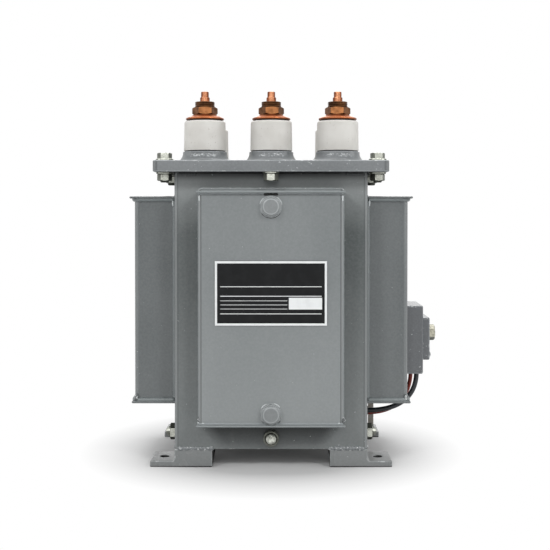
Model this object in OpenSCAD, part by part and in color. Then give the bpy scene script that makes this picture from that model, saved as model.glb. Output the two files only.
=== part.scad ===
// Pole mounted transformer: an oil-filled three-phase unit on four bolted feet.
// Millimetres. X runs to the right, Y to the back and Z up. The origin is on the ground,
// at the middle of the four foot bolts.

/* [Tank] */
// Outside width of the tank, side to side
tank_w = 386; // [360:1:460]
// Outside depth of the tank, front to back
tank_d = 356; // [330:1:440]
// Height of the tank, from its underside to the rim
tank_h = 553; // [530:1:700]
// Wall plate thickness
wall_t = 5; // [3:0.5:7]
// Outside radius of the bent upright corners
corner_r = 9; // [8:0.5:20]
// Floor plate thickness
floor_t = 6; // [4:0.5:12]

/* [Rim and lid] */
// How far the lid reaches past the tank wall
lid_overhang = 39; // [36:1:50]
// Lid plate thickness
lid_t = 9.5; // [5:0.5:12]
// Thickness of the skirt that hangs round the lid
skirt_t = 5; // [3:0.5:6]
// Outside radius of the lid's corners
lid_corner_r = 11; // [8:0.5:20]
// Rim flange thickness
rim_t = 10; // [8:0.5:16]
// Lid gasket thickness
gasket_t = 3; // [2:0.5:6]
// Diameter of the lid bolts
lid_bolt_d = 16; // [12:1:18]
// Distance of the lid bolts from the tank wall
lid_bolt_out = 20; // [16:0.5:22]
// Distance of the corner bolts from the front and rear wall planes, inwards
lid_bolt_in = 12; // [0:1:40]

/* [Cooling pockets] */
// Sheet thickness of the pockets
sheet_t = 2.5; // [1.5:0.5:4]
// Outside radius of the pockets' folded edges
pocket_r = 6; // [5:0.5:12]
// Thickness of the cap plates
cap_t = 4.5; // [3:0.5:8]
// How far the cap plates reach past the pockets
cap_lip = 8; // [4:0.5:12]
// Width of the front and rear pockets
front_pocket_w = 283; // [200:1:300]
// How far the front and rear pockets stand out
front_pocket_p = 40; // [30:1:70]
// Gap between the rim and the top of the front and rear pockets
front_pocket_gap = 42; // [20:0.5:90]
// Lower end of the front and rear pockets above the ground
front_pocket_z = 93.5; // [88:0.5:110]
// Width of the side pockets
side_pocket_w = 266; // [200:1:290]
// How far the side pockets stand out
side_pocket_p = 84.5; // [70:0.5:110]
// Gap between the rim and the top of the side pockets
side_pocket_gap = 52; // [20:0.5:100]
// Lower end of the side pockets above the ground
side_pocket_z = 125; // [118:1:140]

/* [Feet] */
// Height of the feet, from the ground to the tank
foot_h = 36; // [28:1:50]
// Width of the block under the tank
foot_w = 76; // [50:1:100]
// Depth of a foot, front to back
foot_d = 84; // [60:1:110]
// How far the bolting flange reaches past the tank
flange_w = 47.5; // [42:0.5:60]
// Bolting flange thickness
flange_t = 12.2; // [8:0.2:16]
// Radius of the inside corner above the flange
flange_fillet_r = 5; // [2:0.5:8]
// Diameter of the holes for the foot bolts
foot_hole_d = 18; // [12:0.5:20]

/* [Front bushings] */
// Distance of the outer bushings' axes from the ends of the lid
bushing_edge = 94.4; // [88:0.2:106]
// Distance of the front row from the middle of the tank
front_row_y = 88; // [70:1:95]
// Height of the front turrets
front_turret_h = 22.5; // [18:0.5:40]
// Diameter of the front porcelains
front_porcelain_d = 87; // [75:0.5:95]
// Height of the front porcelains
front_porcelain_h = 61.5; // [40:0.5:120]
// Diameter of the front dished washers
front_washer_d = 79; // [72:0.5:84]
// Height of the front dished washers
front_washer_h = 11.5; // [9:0.5:16]
// Width across flats of the front terminal nuts
front_nut_af = 46; // [42:1:55]
// Height of the front terminal nuts
front_nut_h = 15; // [10:0.5:24]
// Diameter of the front lock collars
front_collar_d = 41; // [36:0.5:44]
// Height of the front lock collars
front_collar_h = 11.5; // [8:0.5:16]
// Diameter of the front terminal studs
front_stud_d = 20; // [18:0.5:24]
// Length of full stud above the front collars
front_neck_h = 9.5; // [6:0.5:20]
// Diameter of the front studs' tips
front_tip_d = 16; // [12:0.5:17]
// Length of the front studs' tips
front_tip_h = 11.5; // [8:0.5:30]

/* [Rear bushings] */
// Distance of the rear row from the middle of the tank
rear_row_y = 90; // [70:1:95]
// Height of the rear turrets
rear_turret_h = 8; // [8:0.5:20]
// Diameter of the rear porcelains
rear_porcelain_d = 81; // [75:0.5:92]
// Height of the rear porcelains
rear_porcelain_h = 71; // [50:0.5:120]
// Diameter of the rear dished washers
rear_washer_d = 60; // [54:0.5:70]
// Height of the rear dished washers
rear_washer_h = 7; // [7:0.5:12]
// Width across flats of the rear terminal nuts
rear_nut_af = 36; // [32:1:42]
// Height of the rear terminal nuts
rear_nut_h = 12; // [8:0.5:20]
// Diameter of the rear lock collars
rear_collar_d = 32; // [28:0.5:34]
// Height of the rear lock collars
rear_collar_h = 9; // [8:0.5:14]
// Diameter of the rear terminal studs
rear_stud_d = 16; // [14:0.5:18]
// Length of full stud above the rear collars
rear_neck_h = 8; // [6:0.5:16]
// Diameter of the rear studs' tips
rear_tip_d = 12; // [10:0.5:13]
// Length of the rear studs' tips
rear_tip_h = 9; // [8:0.5:20]

/* [Bushing fit] */
// Diameter of the porcelain spigots that pass through the lid
spigot_d = 54; // [45:0.5:58]
// Thickness of the bushing seals
seal_t = 2; // [1.5:0.5:4]
// How far the turrets reach past the porcelains
turret_lip = 2; // [1:0.5:4]
// Radius of the flare at a turret's foot
turret_fillet_r = 20; // [8:0.5:22]
// Clearance round the studs and spigots
fit_gap = 0.4; // [0.2:0.1:0.8]

/* [Terminal box] */
// How far the terminal box stands out from the right pocket
box_p = 43.5; // [30:0.5:60]
// Depth of the terminal box, front to back
box_d = 106; // [90:1:130]
// Height of the terminal box
box_h = 145; // [120:1:180]
// Underside of the terminal box above the ground
box_z = 166.5; // [160:0.5:260]
// Thickness of the terminal box cover
cover_p = 15.5; // [8:0.5:24]
// Depth of the cover, front to back
cover_d = 86; // [60:1:88]
// Height of the cover
cover_h = 90.5; // [70:0.5:110]
// Underside of the cover above that of the box
cover_up = 28; // [5:1:40]
// Height of the cover bolt above the cover's underside
cover_bolt_up = 54.5; // [25:0.5:60]
// Diameter of the black lead
black_lead_d = 10.5; // [8:0.5:12]
// Diameter of the red lead
red_lead_d = 9; // [8:0.5:11]

/* [Fittings] */
// Width across flats of the earth nuts and the cover bolt
earth_bolt_af = 30; // [24:1:32]
// Diameter of the earth studs
earth_stud_d = 21; // [16:0.5:22]
// Height of the earth bolts above the ground
earth_bolt_z = 60.5; // [58:0.5:66]
// Distance of the earth bolts from the front wall plane
earth_bolt_in = 55; // [30:1:80]
// Width across flats of the pocket plugs
plug_af = 36; // [28:1:38]
// Distance of the pocket plugs from the ends of the front pocket
plug_in = 23.5; // [22:0.5:60]
// Height of the drain above the ground
drain_z = 59.5; // [58:0.5:66]
// Outside diameter of the drain collar
drain_d = 31; // [26:0.5:34]
// Rating plate width
plate_w = 220; // [120:1:230]
// Rating plate height
plate_h = 127; // [80:1:140]
// Middle of the rating plate above the ground
plate_z = 351; // [260:1:400]
// Width of the earth bar
bar_w = 13; // [10:0.5:20]
// Length of the earth bar
bar_h = 250; // [120:1:320]

/* [Hidden] */
$fn = 96;
ROWS = ["front", "rear"];
PLACES = ["left", "middle", "right"];
SIDES = ["front", "right", "rear", "left"];

// Colours by finish
paint = "#83888A";
porcelain = "#D8D6D1";
copper = "#B4653F";
brass = "#A8713C";
zinc = "#C6C9BE";
rubber = "#232323";
plate_black = "#1B1C1D";
lead_red = "#4A1B17";

// Levels
tank_top = foot_h + tank_h;
rim_top = tank_top + rim_t;
lid_under = rim_top + gasket_t;
lid_top = lid_under + lid_t;

// Pocket heights between their caps
front_pocket_h = tank_top - front_pocket_gap - front_pocket_z;
side_pocket_h = tank_top - side_pocket_gap - side_pocket_z;

// Rim and lid
lid_w = tank_w + 2 * lid_overhang;
lid_d = tank_d + 2 * lid_overhang;
bushing_pitch = lid_w / 2 - bushing_edge;
skirt_gap = 1;
lid_hole_d = lid_bolt_d + 2;
blind_hole_h = 0.6 * lid_t;
corner_bolts = [for (x = [-1, 1], y = [-1, 1])
    [x * (tank_w / 2 + lid_bolt_out), y * (tank_d / 2 - lid_bolt_in)]];
edge_bolts = [
    [-tank_w / 2 - lid_bolt_out, 0], [tank_w / 2 + lid_bolt_out, 0],
    [0, -tank_d / 2 - lid_bolt_out], [0, tank_d / 2 + lid_bolt_out]];

// Bushing rows, front then rear
ROW_Y = [-front_row_y, rear_row_y];
TURRET_H = [front_turret_h, rear_turret_h];
PORCELAIN_D = [front_porcelain_d, rear_porcelain_d];
PORCELAIN_H = [front_porcelain_h, rear_porcelain_h];
WASHER_D = [front_washer_d, rear_washer_d];
WASHER_H = [front_washer_h, rear_washer_h];
NUT_AF = [front_nut_af, rear_nut_af];
NUT_H = [front_nut_h, rear_nut_h];
COLLAR_D = [front_collar_d, rear_collar_d];
COLLAR_H = [front_collar_h, rear_collar_h];
STUD_D = [front_stud_d, rear_stud_d];
NECK_H = [front_neck_h, rear_neck_h];
TIP_D = [front_tip_d, rear_tip_d];
TIP_H = [front_tip_h, rear_tip_h];
spigot_tail = 10;
stud_tail = 18;
shoulder_r = 4;
porcelain_taper = 1;
washer_rim_t = 4.8;
thread_depth = 1.2;

// How far each nut of a row is turned, left to right, as it came tight
nut_turn = [5, 4, -6];

function bushing_x(place) = (place - 1) * bushing_pitch;
function turret_top(row) = lid_top + TURRET_H[row];
function porcelain_z(row) = turret_top(row) + seal_t;
function porcelain_top(row) = porcelain_z(row) + PORCELAIN_H[row];
function washer_z(row) = porcelain_top(row) + seal_t;
function nut_z(row) = washer_z(row) + WASHER_H[row];
function collar_z(row) = nut_z(row) + NUT_H[row];
function neck_z(row) = collar_z(row) + COLLAR_H[row];
function tip_z(row) = neck_z(row) + NECK_H[row];
function stud_bore(row) = STUD_D[row] + 2 * fit_gap;

// Fittings
pocket_x = tank_w / 2 + side_pocket_p;
box_x = pocket_x + box_p;
cover_x = box_x + cover_p;
box_edge_r = 3;
cover_edge_r = 6;
bolt_washer_t = 3;
bolt_head_h = 12.4;
earth_nut_h = 10.6;
earth_stud_p = 9.5;
plug_h = 10;
plug_washer_t = 2.5;
plate_t = 1.5;
bar_t = 6;
bar_in = 3.2;
bar_x = tank_w / 2 + flange_w - bar_in - bar_w;
bar_arm_h = 20;
drain_p = 14;
drain_wall = 3.6;

// Leads, from the box's underside to glands on the tank wall under the right pocket
gland_p = 14;
gland_d = 19;
lead_sides = 10;
black_lead_y = -22;
red_lead_y = 4;
black_gland_z = 84;
red_gland_z = 74;
lead_rings = 12;
lead_drop = 0.68;
lead_reach = 0.62;
black_lead_in = 10;
red_lead_in = 19;

// Rounded rectangle about the origin, made of exact arcs
module rounded_rect(w, d, r) {
    square([w - 2 * r, d], center = true);
    square([w, d - 2 * r], center = true);
    for (x = [-1, 1], y = [-1, 1])
        translate([x * (w / 2 - r), y * (d / 2 - r)]) circle(r);
}

// What lies in front of the X axis
module front_half(size) {
    intersection() {
        children();
        translate([-size, -2 * size]) square([2 * size, 2 * size]);
    }
}

// Move a piece drawn on the front wall to the wall that is named
module on_wall(side) {
    if (side == "front") translate([0, -tank_d / 2, 0]) children();
    if (side == "right") translate([tank_w / 2, 0, 0]) rotate(90) children();
    if (side == "rear") translate([0, tank_d / 2, 0]) rotate(180) children();
    if (side == "left") translate([-tank_w / 2, 0, 0]) rotate(-90) children();
}

// Hexagon bar with its end corners chamfered, and a bore where it is a nut
module hex_piece(af, h, bore = 0) {
    ac = af / cos(30);
    chamfer = (ac - af) / 2 * tan(30);
    difference() {
        intersection() {
            linear_extrude(h) circle(d = ac, $fn = 6);
            rotate_extrude() polygon([
                [0, 0], [af / 2, 0], [ac / 2, chamfer],
                [ac / 2, h - chamfer], [af / 2, h], [0, h]]);
        }
        if (bore > 0) translate([0, 0, -1]) cylinder(d = bore, h = h + 2);
    }
}

module each_bushing(row, z) {
    for (place = [0 : 2]) translate([bushing_x(place), ROW_Y[row], z]) children();
}

module tank_shell() {
    color(paint) translate([0, 0, foot_h]) linear_extrude(tank_h) difference() {
        rounded_rect(tank_w, tank_d, corner_r);
        rounded_rect(tank_w - 2 * wall_t, tank_d - 2 * wall_t, corner_r - wall_t);
    }
}

module tank_floor() {
    color(paint) translate([0, 0, foot_h]) linear_extrude(floor_t)
        rounded_rect(tank_w - 2 * wall_t, tank_d - 2 * wall_t, corner_r - wall_t);
}

// Outline that the rim and the gasket share, with the bolt holes
module rim_outline() {
    inset = 2 * (skirt_t + skirt_gap);
    difference() {
        rounded_rect(lid_w - inset, lid_d - inset, lid_corner_r - skirt_t);
        rounded_rect(tank_w - 2 * wall_t, tank_d - 2 * wall_t, corner_r - wall_t);
        for (p = concat(corner_bolts, edge_bolts)) translate(p) circle(d = lid_hole_d);
    }
}

module tank_rim() {
    color(paint) translate([0, 0, tank_top]) linear_extrude(rim_t) rim_outline();
}

module lid_gasket() {
    color(rubber) translate([0, 0, rim_top]) linear_extrude(gasket_t) rim_outline();
}

module lid() {
    color(paint) difference() {
        translate([0, 0, tank_top]) linear_extrude(lid_top - tank_top)
            rounded_rect(lid_w, lid_d, lid_corner_r);
        translate([0, 0, tank_top - 1]) linear_extrude(lid_under - tank_top + 1)
            rounded_rect(lid_w - 2 * skirt_t, lid_d - 2 * skirt_t, lid_corner_r - skirt_t);
        for (p = corner_bolts) translate([p.x, p.y, lid_under - 1])
            cylinder(d = lid_hole_d, h = lid_t + 2);
        for (p = edge_bolts) translate([p.x, p.y, lid_under - 1])
            cylinder(d = lid_hole_d, h = blind_hole_h + 1);
        for (row = [0, 1]) each_bushing(row, lid_under - 1)
            cylinder(d = spigot_d + 2 * fit_gap, h = lid_t + 2);
    }
}

// Sheet folded round three sides of a pocket, open to the tank
module pocket_sheet(w, p, h, z) {
    color(paint) translate([0, 0, z]) linear_extrude(h) front_half(w) difference() {
        rounded_rect(w, 2 * p, pocket_r);
        rounded_rect(w - 2 * sheet_t, 2 * (p - sheet_t), pocket_r - sheet_t);
    }
}

// Plates that close a pocket above and below, with a lip all round
module pocket_caps(w, p, h, z) {
    color(paint) for (level = [z - cap_t, z + h]) translate([0, 0, level])
        linear_extrude(cap_t) front_half(w)
            rounded_rect(w + 2 * cap_lip, 2 * (p + cap_lip), pocket_r / 2);
}

module wall_pocket_sheet(side) {
    on_wall(side)
        if (side == "front" || side == "rear")
            pocket_sheet(front_pocket_w, front_pocket_p, front_pocket_h, front_pocket_z);
        else
            pocket_sheet(side_pocket_w, side_pocket_p, side_pocket_h, side_pocket_z);
}

module wall_pocket_caps(side) {
    on_wall(side)
        if (side == "front" || side == "rear")
            pocket_caps(front_pocket_w, front_pocket_p, front_pocket_h, front_pocket_z);
        else
            pocket_caps(side_pocket_w, side_pocket_p, side_pocket_h, side_pocket_z);
}

// One foot: a block under the tank with a flange outside it, for the right-hand front corner
module foot() {
    color(paint) difference() {
        translate([0, foot_d - tank_d / 2, 0]) rotate([90, 0, 0]) linear_extrude(foot_d) {
            translate([tank_w / 2 - foot_w, 0]) square([foot_w, foot_h]);
            translate([tank_w / 2 - foot_w, 0]) square([foot_w + flange_w, flange_t]);
            translate([tank_w / 2, flange_t]) difference() {
                translate([-1, -1]) square(flange_fillet_r + 1);
                translate([flange_fillet_r, flange_fillet_r]) circle(flange_fillet_r);
            }
        }
        translate([(tank_w + flange_w) / 2, (foot_d - tank_d) / 2, -1])
            cylinder(d = foot_hole_d, h = flange_t + 2);
    }
}

module front_right_foot() foot();
module front_left_foot() mirror([1, 0, 0]) foot();
module rear_right_foot() mirror([0, 1, 0]) foot();
module rear_left_foot() mirror([1, 0, 0]) mirror([0, 1, 0]) foot();

// Collars welded to the lid that carry a row of porcelains
module turrets(row) {
    r = PORCELAIN_D[row] / 2 + turret_lip;
    bore = spigot_d / 2 + fit_gap;
    fillet = min(turret_fillet_r, TURRET_H[row] - 1, bushing_pitch / 2 - r - 1);
    color(paint) each_bushing(row, lid_top) rotate_extrude() {
        translate([bore, 0]) square([r - bore, TURRET_H[row]]);
        translate([r, 0]) difference() {
            translate([-1, 0]) square([fillet + 1, fillet]);
            translate([fillet, fillet]) circle(fillet);
        }
    }
}

// Rubber rings under and over each porcelain
module bushing_seals() {
    color(rubber) for (row = [0, 1]) {
        each_bushing(row, turret_top(row))
            seal_ring(PORCELAIN_D[row] - 3, spigot_d + 2 * fit_gap);
        each_bushing(row, porcelain_top(row))
            seal_ring(WASHER_D[row] - 2 * washer_rim_t, stud_bore(row));
    }
}

module seal_ring(d, bore) {
    linear_extrude(seal_t) difference() {
        circle(d = d);
        circle(d = bore);
    }
}

// Porcelain sleeve with a rounded shoulder and a spigot that passes through the lid
module porcelain_sleeve(row, place) {
    r = PORCELAIN_D[row] / 2;
    h = PORCELAIN_H[row];
    bore = stud_bore(row) / 2;
    spigot_h = porcelain_z(row) - lid_under + spigot_tail;
    top_r = r - porcelain_taper;
    color(porcelain) translate([bushing_x(place), ROW_Y[row], porcelain_z(row)]) rotate_extrude() {
        polygon([
            [bore, 0], [r, 0], [top_r, h - shoulder_r],
            [top_r - shoulder_r, h], [bore, h]]);
        translate([top_r - shoulder_r, h - shoulder_r]) circle(shoulder_r);
        translate([bore, -spigot_h]) square([spigot_d / 2 - bore, spigot_h + 1]);
    }
}

// Dished washers with a rolled rim
module washers(row) {
    r = WASHER_D[row] / 2;
    rim_r = washer_rim_t / 2;
    bore = stud_bore(row) / 2;
    crown_r = NUT_AF[row] / 2;
    color(copper) each_bushing(row, washer_z(row)) rotate_extrude() {
        polygon([
            [bore, 0], [r - rim_r, 0], [r - rim_r, washer_rim_t],
            [crown_r, WASHER_H[row]], [bore, WASHER_H[row]]]);
        translate([r - rim_r, rim_r]) circle(rim_r);
    }
}

module nuts(row) {
    color(brass) for (place = [0 : 2])
        translate([bushing_x(place), ROW_Y[row], nut_z(row)]) rotate(nut_turn[place])
            hex_piece(NUT_AF[row], NUT_H[row], stud_bore(row));
}

// Round lock collars with three coarse ridges
module collars(row) {
    ridges = 3;
    r = COLLAR_D[row] / 2;
    bore = stud_bore(row) / 2;
    pitch = COLLAR_H[row] / ridges;
    color(brass) each_bushing(row, collar_z(row)) rotate_extrude() polygon(concat(
        [[bore, 0]],
        [for (i = [0 : ridges - 1]) each
            [[r - thread_depth, i * pitch], [r, (i + 0.4) * pitch], [r, (i + 0.6) * pitch]]],
        [[r - thread_depth, COLLAR_H[row]], [bore, COLLAR_H[row]]]));
}

// Terminal studs: a full length through the porcelain and a smaller tip
module studs(row) {
    foot_z = lid_under - stud_tail;
    neck = tip_z(row) - foot_z;
    total = neck + TIP_H[row];
    edge = 1;
    color(copper) each_bushing(row, foot_z) rotate_extrude() polygon([
        [0, 0], [STUD_D[row] / 2, 0], [STUD_D[row] / 2, neck - edge],
        [STUD_D[row] / 2 - edge, neck], [TIP_D[row] / 2, neck],
        [TIP_D[row] / 2, total - edge], [TIP_D[row] / 2 - edge, total], [0, total]]);
}

module terminal_box() {
    color(paint) translate([pocket_x + box_p / 2, 0, box_z]) linear_extrude(box_h) {
        rounded_rect(box_p, box_d, box_edge_r);
        translate([-box_p / 2, -box_d / 2]) square([box_p / 2, box_d]);
    }
}

module terminal_box_cover() {
    color(paint) translate([box_x, 0, box_z + cover_up + cover_h / 2])
        rotate([90, 0, 90]) linear_extrude(cover_p) rounded_rect(cover_d, cover_h, cover_edge_r);
}

// Hexagon bolt head on its washer, pointing out along X
module side_bolt() {
    rotate([0, 90, 0]) {
        cylinder(d = earth_bolt_af / cos(30) + 3, h = bolt_washer_t);
        translate([0, 0, bolt_washer_t - 0.5]) hex_piece(earth_bolt_af, bolt_head_h + 0.5);
    }
}

module terminal_box_bolt() {
    color(zinc) translate([cover_x, 0, box_z + cover_up + cover_bolt_up]) side_bolt();
}

// Earth stud with its nut on each side wall, its end turned to a blunt cone
module earth_bolts() {
    color(zinc) for (side = [0, 1]) mirror([side, 0, 0])
        translate([tank_w / 2, earth_bolt_in - tank_d / 2, earth_bolt_z]) rotate([0, 90, 0]) {
            cylinder(d = earth_bolt_af / cos(30) + 1, h = bolt_washer_t);
            translate([0, 0, bolt_washer_t - 0.5]) hex_piece(earth_bolt_af, earth_nut_h + 0.5);
            translate([0, 0, bolt_washer_t + earth_nut_h - 1]) rotate_extrude() polygon([
                [0, 0], [earth_stud_d / 2, 0], [earth_stud_d / 2, 0.35 * earth_stud_p],
                [0.27 * earth_stud_d, earth_stud_p], [0, earth_stud_p]]);
        }
}

// Route of a lead in the XZ plane: down from the box, then in one easy curve to its gland
function lead_route(start_x, gland_z) =
    let (
        end_x = tank_w / 2 + gland_p,
        drop = lead_drop * (box_z - gland_z),
        reach = lead_reach * (start_x - end_x))
    [for (i = [0 : lead_rings - 1]) bezier(
        [[start_x, box_z], [start_x, box_z - drop], [end_x + reach, gland_z], [end_x, gland_z]],
        i / (lead_rings - 1))];

function bezier(p, t) =
    pow(1 - t, 3) * p[0] + 3 * t * pow(1 - t, 2) * p[1] + 3 * t * t * (1 - t) * p[2] + pow(t, 3) * p[3];

// Direction of a route at each of its points: straight down at first, level at last
function unit(v) = v / norm(v);
function heading(route, i) =
    i == 0 ? [0, -1]
    : i == len(route) - 1 ? [-1, 0]
    : unit(route[i + 1] - route[i - 1]);

// Tube swept along a route in the XZ plane
module lead(d, y, route) {
    rings = len(route);
    points = [for (i = [0 : rings - 1], s = [0 : lead_sides - 1])
        let (
            t = heading(route, i),
            a = 360 * s / lead_sides,
            across = d / 2 * cos(a))
        [route[i].x - t.y * across, y + d / 2 * sin(a), route[i].y + t.x * across]];
    walls = [for (i = [0 : rings - 2], s = [0 : lead_sides - 1])
        let (a = i * lead_sides, n = (s + 1) % lead_sides)
        [a + s, a + n, a + lead_sides + n, a + lead_sides + s]];
    first = [for (s = [lead_sides - 1 : -1 : 0]) s];
    last = [for (s = [0 : lead_sides - 1]) (rings - 1) * lead_sides + s];
    polyhedron(points, concat([first], walls, [last]));
}

module black_lead() {
    color(rubber) lead(black_lead_d, black_lead_y,
        lead_route(box_x - black_lead_in, black_gland_z));
}

module red_lead() {
    color(lead_red) lead(red_lead_d, red_lead_y,
        lead_route(box_x - red_lead_in, red_gland_z));
}

// Glands on the tank wall where the leads end
module lead_glands() {
    color(rubber) for (g = [[black_lead_y, black_gland_z], [red_lead_y, red_gland_z]])
        translate([tank_w / 2, g[0], g[1]]) rotate([0, 90, 0]) cylinder(d = gland_d, h = gland_p);
}

// Flat bar that stands on the rear right foot, on two arms welded to the tank
module earth_bar() {
    rear = tank_d / 2;
    color(paint) {
        translate([bar_x, rear - bar_t, flange_t]) cube([bar_w, bar_t, bar_h]);
        for (z = [0.35, 0.9]) translate([tank_w / 2, rear - bar_t - corner_r, flange_t + z * bar_h])
            cube([bar_x + bar_w - tank_w / 2, bar_t, bar_arm_h]);
        for (z = [0.35, 0.9]) translate([bar_x, rear - bar_t - corner_r, flange_t + z * bar_h])
            cube([bar_w, bar_t + corner_r, bar_arm_h]);
    }
}

// Filler and vent plugs on the front pocket, a corner pointing down
module front_pocket_plugs() {
    face_y = -tank_d / 2 - front_pocket_p;
    levels = [front_pocket_z + plug_in - 3, front_pocket_z + front_pocket_h - plug_in - 3];
    color(paint) for (z = levels) translate([0, face_y, z]) rotate([90, 30, 0]) {
        cylinder(d = plug_af / cos(30) + 2, h = plug_washer_t);
        intersection() {
            translate([0, 0, plug_washer_t - 0.5]) hex_piece(plug_af, plug_h + 0.5);
            cylinder(d1 = plug_af * 1.9, d2 = plug_af * 0.82, h = plug_washer_t + plug_h);
        }
    }
}

module drain_collar() {
    color(zinc) translate([0, -tank_d / 2, drain_z]) rotate([90, 0, 0]) difference() {
        cylinder(d = drain_d, h = drain_p);
        translate([0, 0, drain_p / 2]) cylinder(d = drain_d - 2 * drain_wall, h = drain_p);
    }
}

module drain_plug() {
    plug_d = drain_d - 2 * drain_wall - 3;
    color(zinc) translate([0, -tank_d / 2 - drain_p / 2, drain_z]) rotate([90, 0, 0]) {
        cylinder(d = plug_d, h = drain_p - 3);
        translate([0, 0, drain_p - 3]) cylinder(d1 = plug_d, d2 = plug_d * 0.6, h = 3);
    }
}

module rating_plate() {
    face_y = -tank_d / 2 - front_pocket_p;
    color(plate_black) translate([0, face_y, plate_z]) rotate([90, 0, 0])
        linear_extrude(plate_t) rounded_rect(plate_w, plate_h, 3);
}

tank_shell();
tank_floor();
tank_rim();
lid_gasket();
lid();
for (s = SIDES) {
    wall_pocket_sheet(s);
    wall_pocket_caps(s);
}
front_left_foot();
front_right_foot();
rear_left_foot();
rear_right_foot();
bushing_seals();
for (row = [0, 1]) {
    turrets(row);
    for (place = [0 : 2])
        porcelain_sleeve(row, place);
    washers(row);
    nuts(row);
    collars(row);
    studs(row);
}
terminal_box();
terminal_box_cover();
terminal_box_bolt();
lead_glands();
black_lead();
red_lead();
earth_bolts();
earth_bar();
front_pocket_plugs();
drain_collar();
drain_plug();
rating_plate();
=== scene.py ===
"""Looks of the pole mounted transformer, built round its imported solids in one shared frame.

Blender works in metres, X to the right, Y to the back, Z up. Sizes in the classes are millimetres.
"""

import logging
import math
from dataclasses import dataclass, replace
from enum import Enum
from typing import Any, Callable, Sequence

import bmesh
import bpy
from mathutils import Matrix, Vector


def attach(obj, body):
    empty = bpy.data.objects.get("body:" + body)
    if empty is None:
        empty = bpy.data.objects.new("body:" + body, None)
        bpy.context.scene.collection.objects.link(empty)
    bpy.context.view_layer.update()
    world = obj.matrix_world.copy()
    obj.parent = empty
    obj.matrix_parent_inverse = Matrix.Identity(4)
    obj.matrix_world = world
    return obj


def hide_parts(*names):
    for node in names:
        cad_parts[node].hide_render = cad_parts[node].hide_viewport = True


LOG = logging.getLogger("transformer")
MM = 0.001
IMAGE_PX = 550
BODY = "root"
# Half the tank's width and depth
HALF_W, HALF_D = 193.0, 178.0
# The two sides of whatever is mirrored
BOTH = (-1, 1)
# Points nearer than MERGE are one. Edges under FLAT vanish, over ROUNDED are bevelled, over SHARP show
MERGE = 0.01 * MM
FLAT, ROUNDED, SHARP = (math.radians(angle) for angle in (0.6, 32, 34))
# Depth of a full relief, and the refraction of paint, glaze and polymer
RELIEF, REFRACTION = 0.25 * MM, 1.5

Pair = tuple[float, float]
Point = tuple[float, float, float]
Run = list[Point]
Profile = Sequence[Pair]
Tree = bpy.types.NodeTree
Piece = bpy.types.Object
Feeds = dict[Any, Any]

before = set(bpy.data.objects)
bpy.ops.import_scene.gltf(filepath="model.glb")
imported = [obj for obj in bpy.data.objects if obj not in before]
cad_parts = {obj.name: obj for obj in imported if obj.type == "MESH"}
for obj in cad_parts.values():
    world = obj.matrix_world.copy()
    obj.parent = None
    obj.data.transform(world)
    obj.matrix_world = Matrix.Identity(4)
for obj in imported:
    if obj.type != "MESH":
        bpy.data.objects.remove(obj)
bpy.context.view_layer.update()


class Slot(Enum):
    """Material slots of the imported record."""

    PAINT = "grey_paint"
    PORCELAIN = "porcelain"
    COPPER = "copper"
    BRASS = "brass"
    ZINC = "zinc"
    RUBBER = "rubber"
    PLATE = "plate_black"
    RED = "red_sheath"


class Wall(Enum):
    """Tank walls, each with the way along it and the way out of it."""

    FRONT = ((1, 0), (0, -1))
    RIGHT = ((0, 1), (1, 0))
    REAR = ((-1, 0), (0, 1))
    LEFT = ((0, -1), (-1, 0))

    @property
    def label(self) -> str:
        """Name of the wall as the solids spell it."""
        return self.name.lower()


def linear(code: str) -> tuple[float, float, float, float]:
    """Turn an sRGB hex colour into linear light.

    Args:
        code: Colour as #RRGGBB.

    Returns:
        Linear red, green, blue and an alpha of 1.
    """
    parts = [int(code[i:i + 2], 16) / 255 for i in (1, 3, 5)]
    red, green, blue = [c / 12.92 if c <= 0.04045 else ((c + 0.055) / 1.055) ** 2.4 for c in parts]
    return red, green, blue, 1.0


def add(tree: Tree, kind: str, feeds: Feeds | None = None, **settings: Any) -> Any:
    """Add a node with its settings, values and links.

    Args:
        tree: Tree that gets the node.
        kind: Blender's name of the node type.
        feeds: For each input, by name or number, a socket to link or a value to set.
        settings: Properties of the node.

    Returns:
        The new node.
    """
    node = tree.nodes.new(kind)
    for key, value in settings.items():
        setattr(node, key, value)
    for key, value in (feeds or {}).items():
        if isinstance(value, bpy.types.NodeSocket):
            tree.links.new(value, node.inputs[key])
        else:
            node.inputs[key].default_value = value
    return node


def fresh_tree(owner: Any) -> Tree:
    """Empty node tree of a new material or world."""
    owner.use_nodes = True
    owner.node_tree.nodes.clear()
    return owner.node_tree


def patches(tree: Tree, where: Any, size_mm: float, low: float, high: float, detail: float = 2.0,
            stretch: Point = (1.0, 1.0, 1.0)) -> Any:
    """Make a soft pattern of patches of a real size.

    Args:
        tree: Material tree.
        where: Socket with the piece's own coordinates.
        size_mm: Width of a patch.
        low: Noise level at which a patch begins.
        high: Noise level at which it is full.
        detail: Octaves of finer noise.
        stretch: Scale of the coordinates along each axis.

    Returns:
        Socket that goes from 0 outside the patches to 1 inside.
    """
    spot = add(tree, "ShaderNodeMapping", {"Vector": where, "Scale": stretch}).outputs[0]
    noise = add(tree, "ShaderNodeTexNoise", {"Vector": spot, "Scale": 1 / (size_mm * MM), "Detail": detail})
    spread = {"Value": noise.outputs[0], "From Min": low, "From Max": high}
    return add(tree, "ShaderNodeMapRange", spread, interpolation_type="SMOOTHSTEP").outputs[0]


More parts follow.
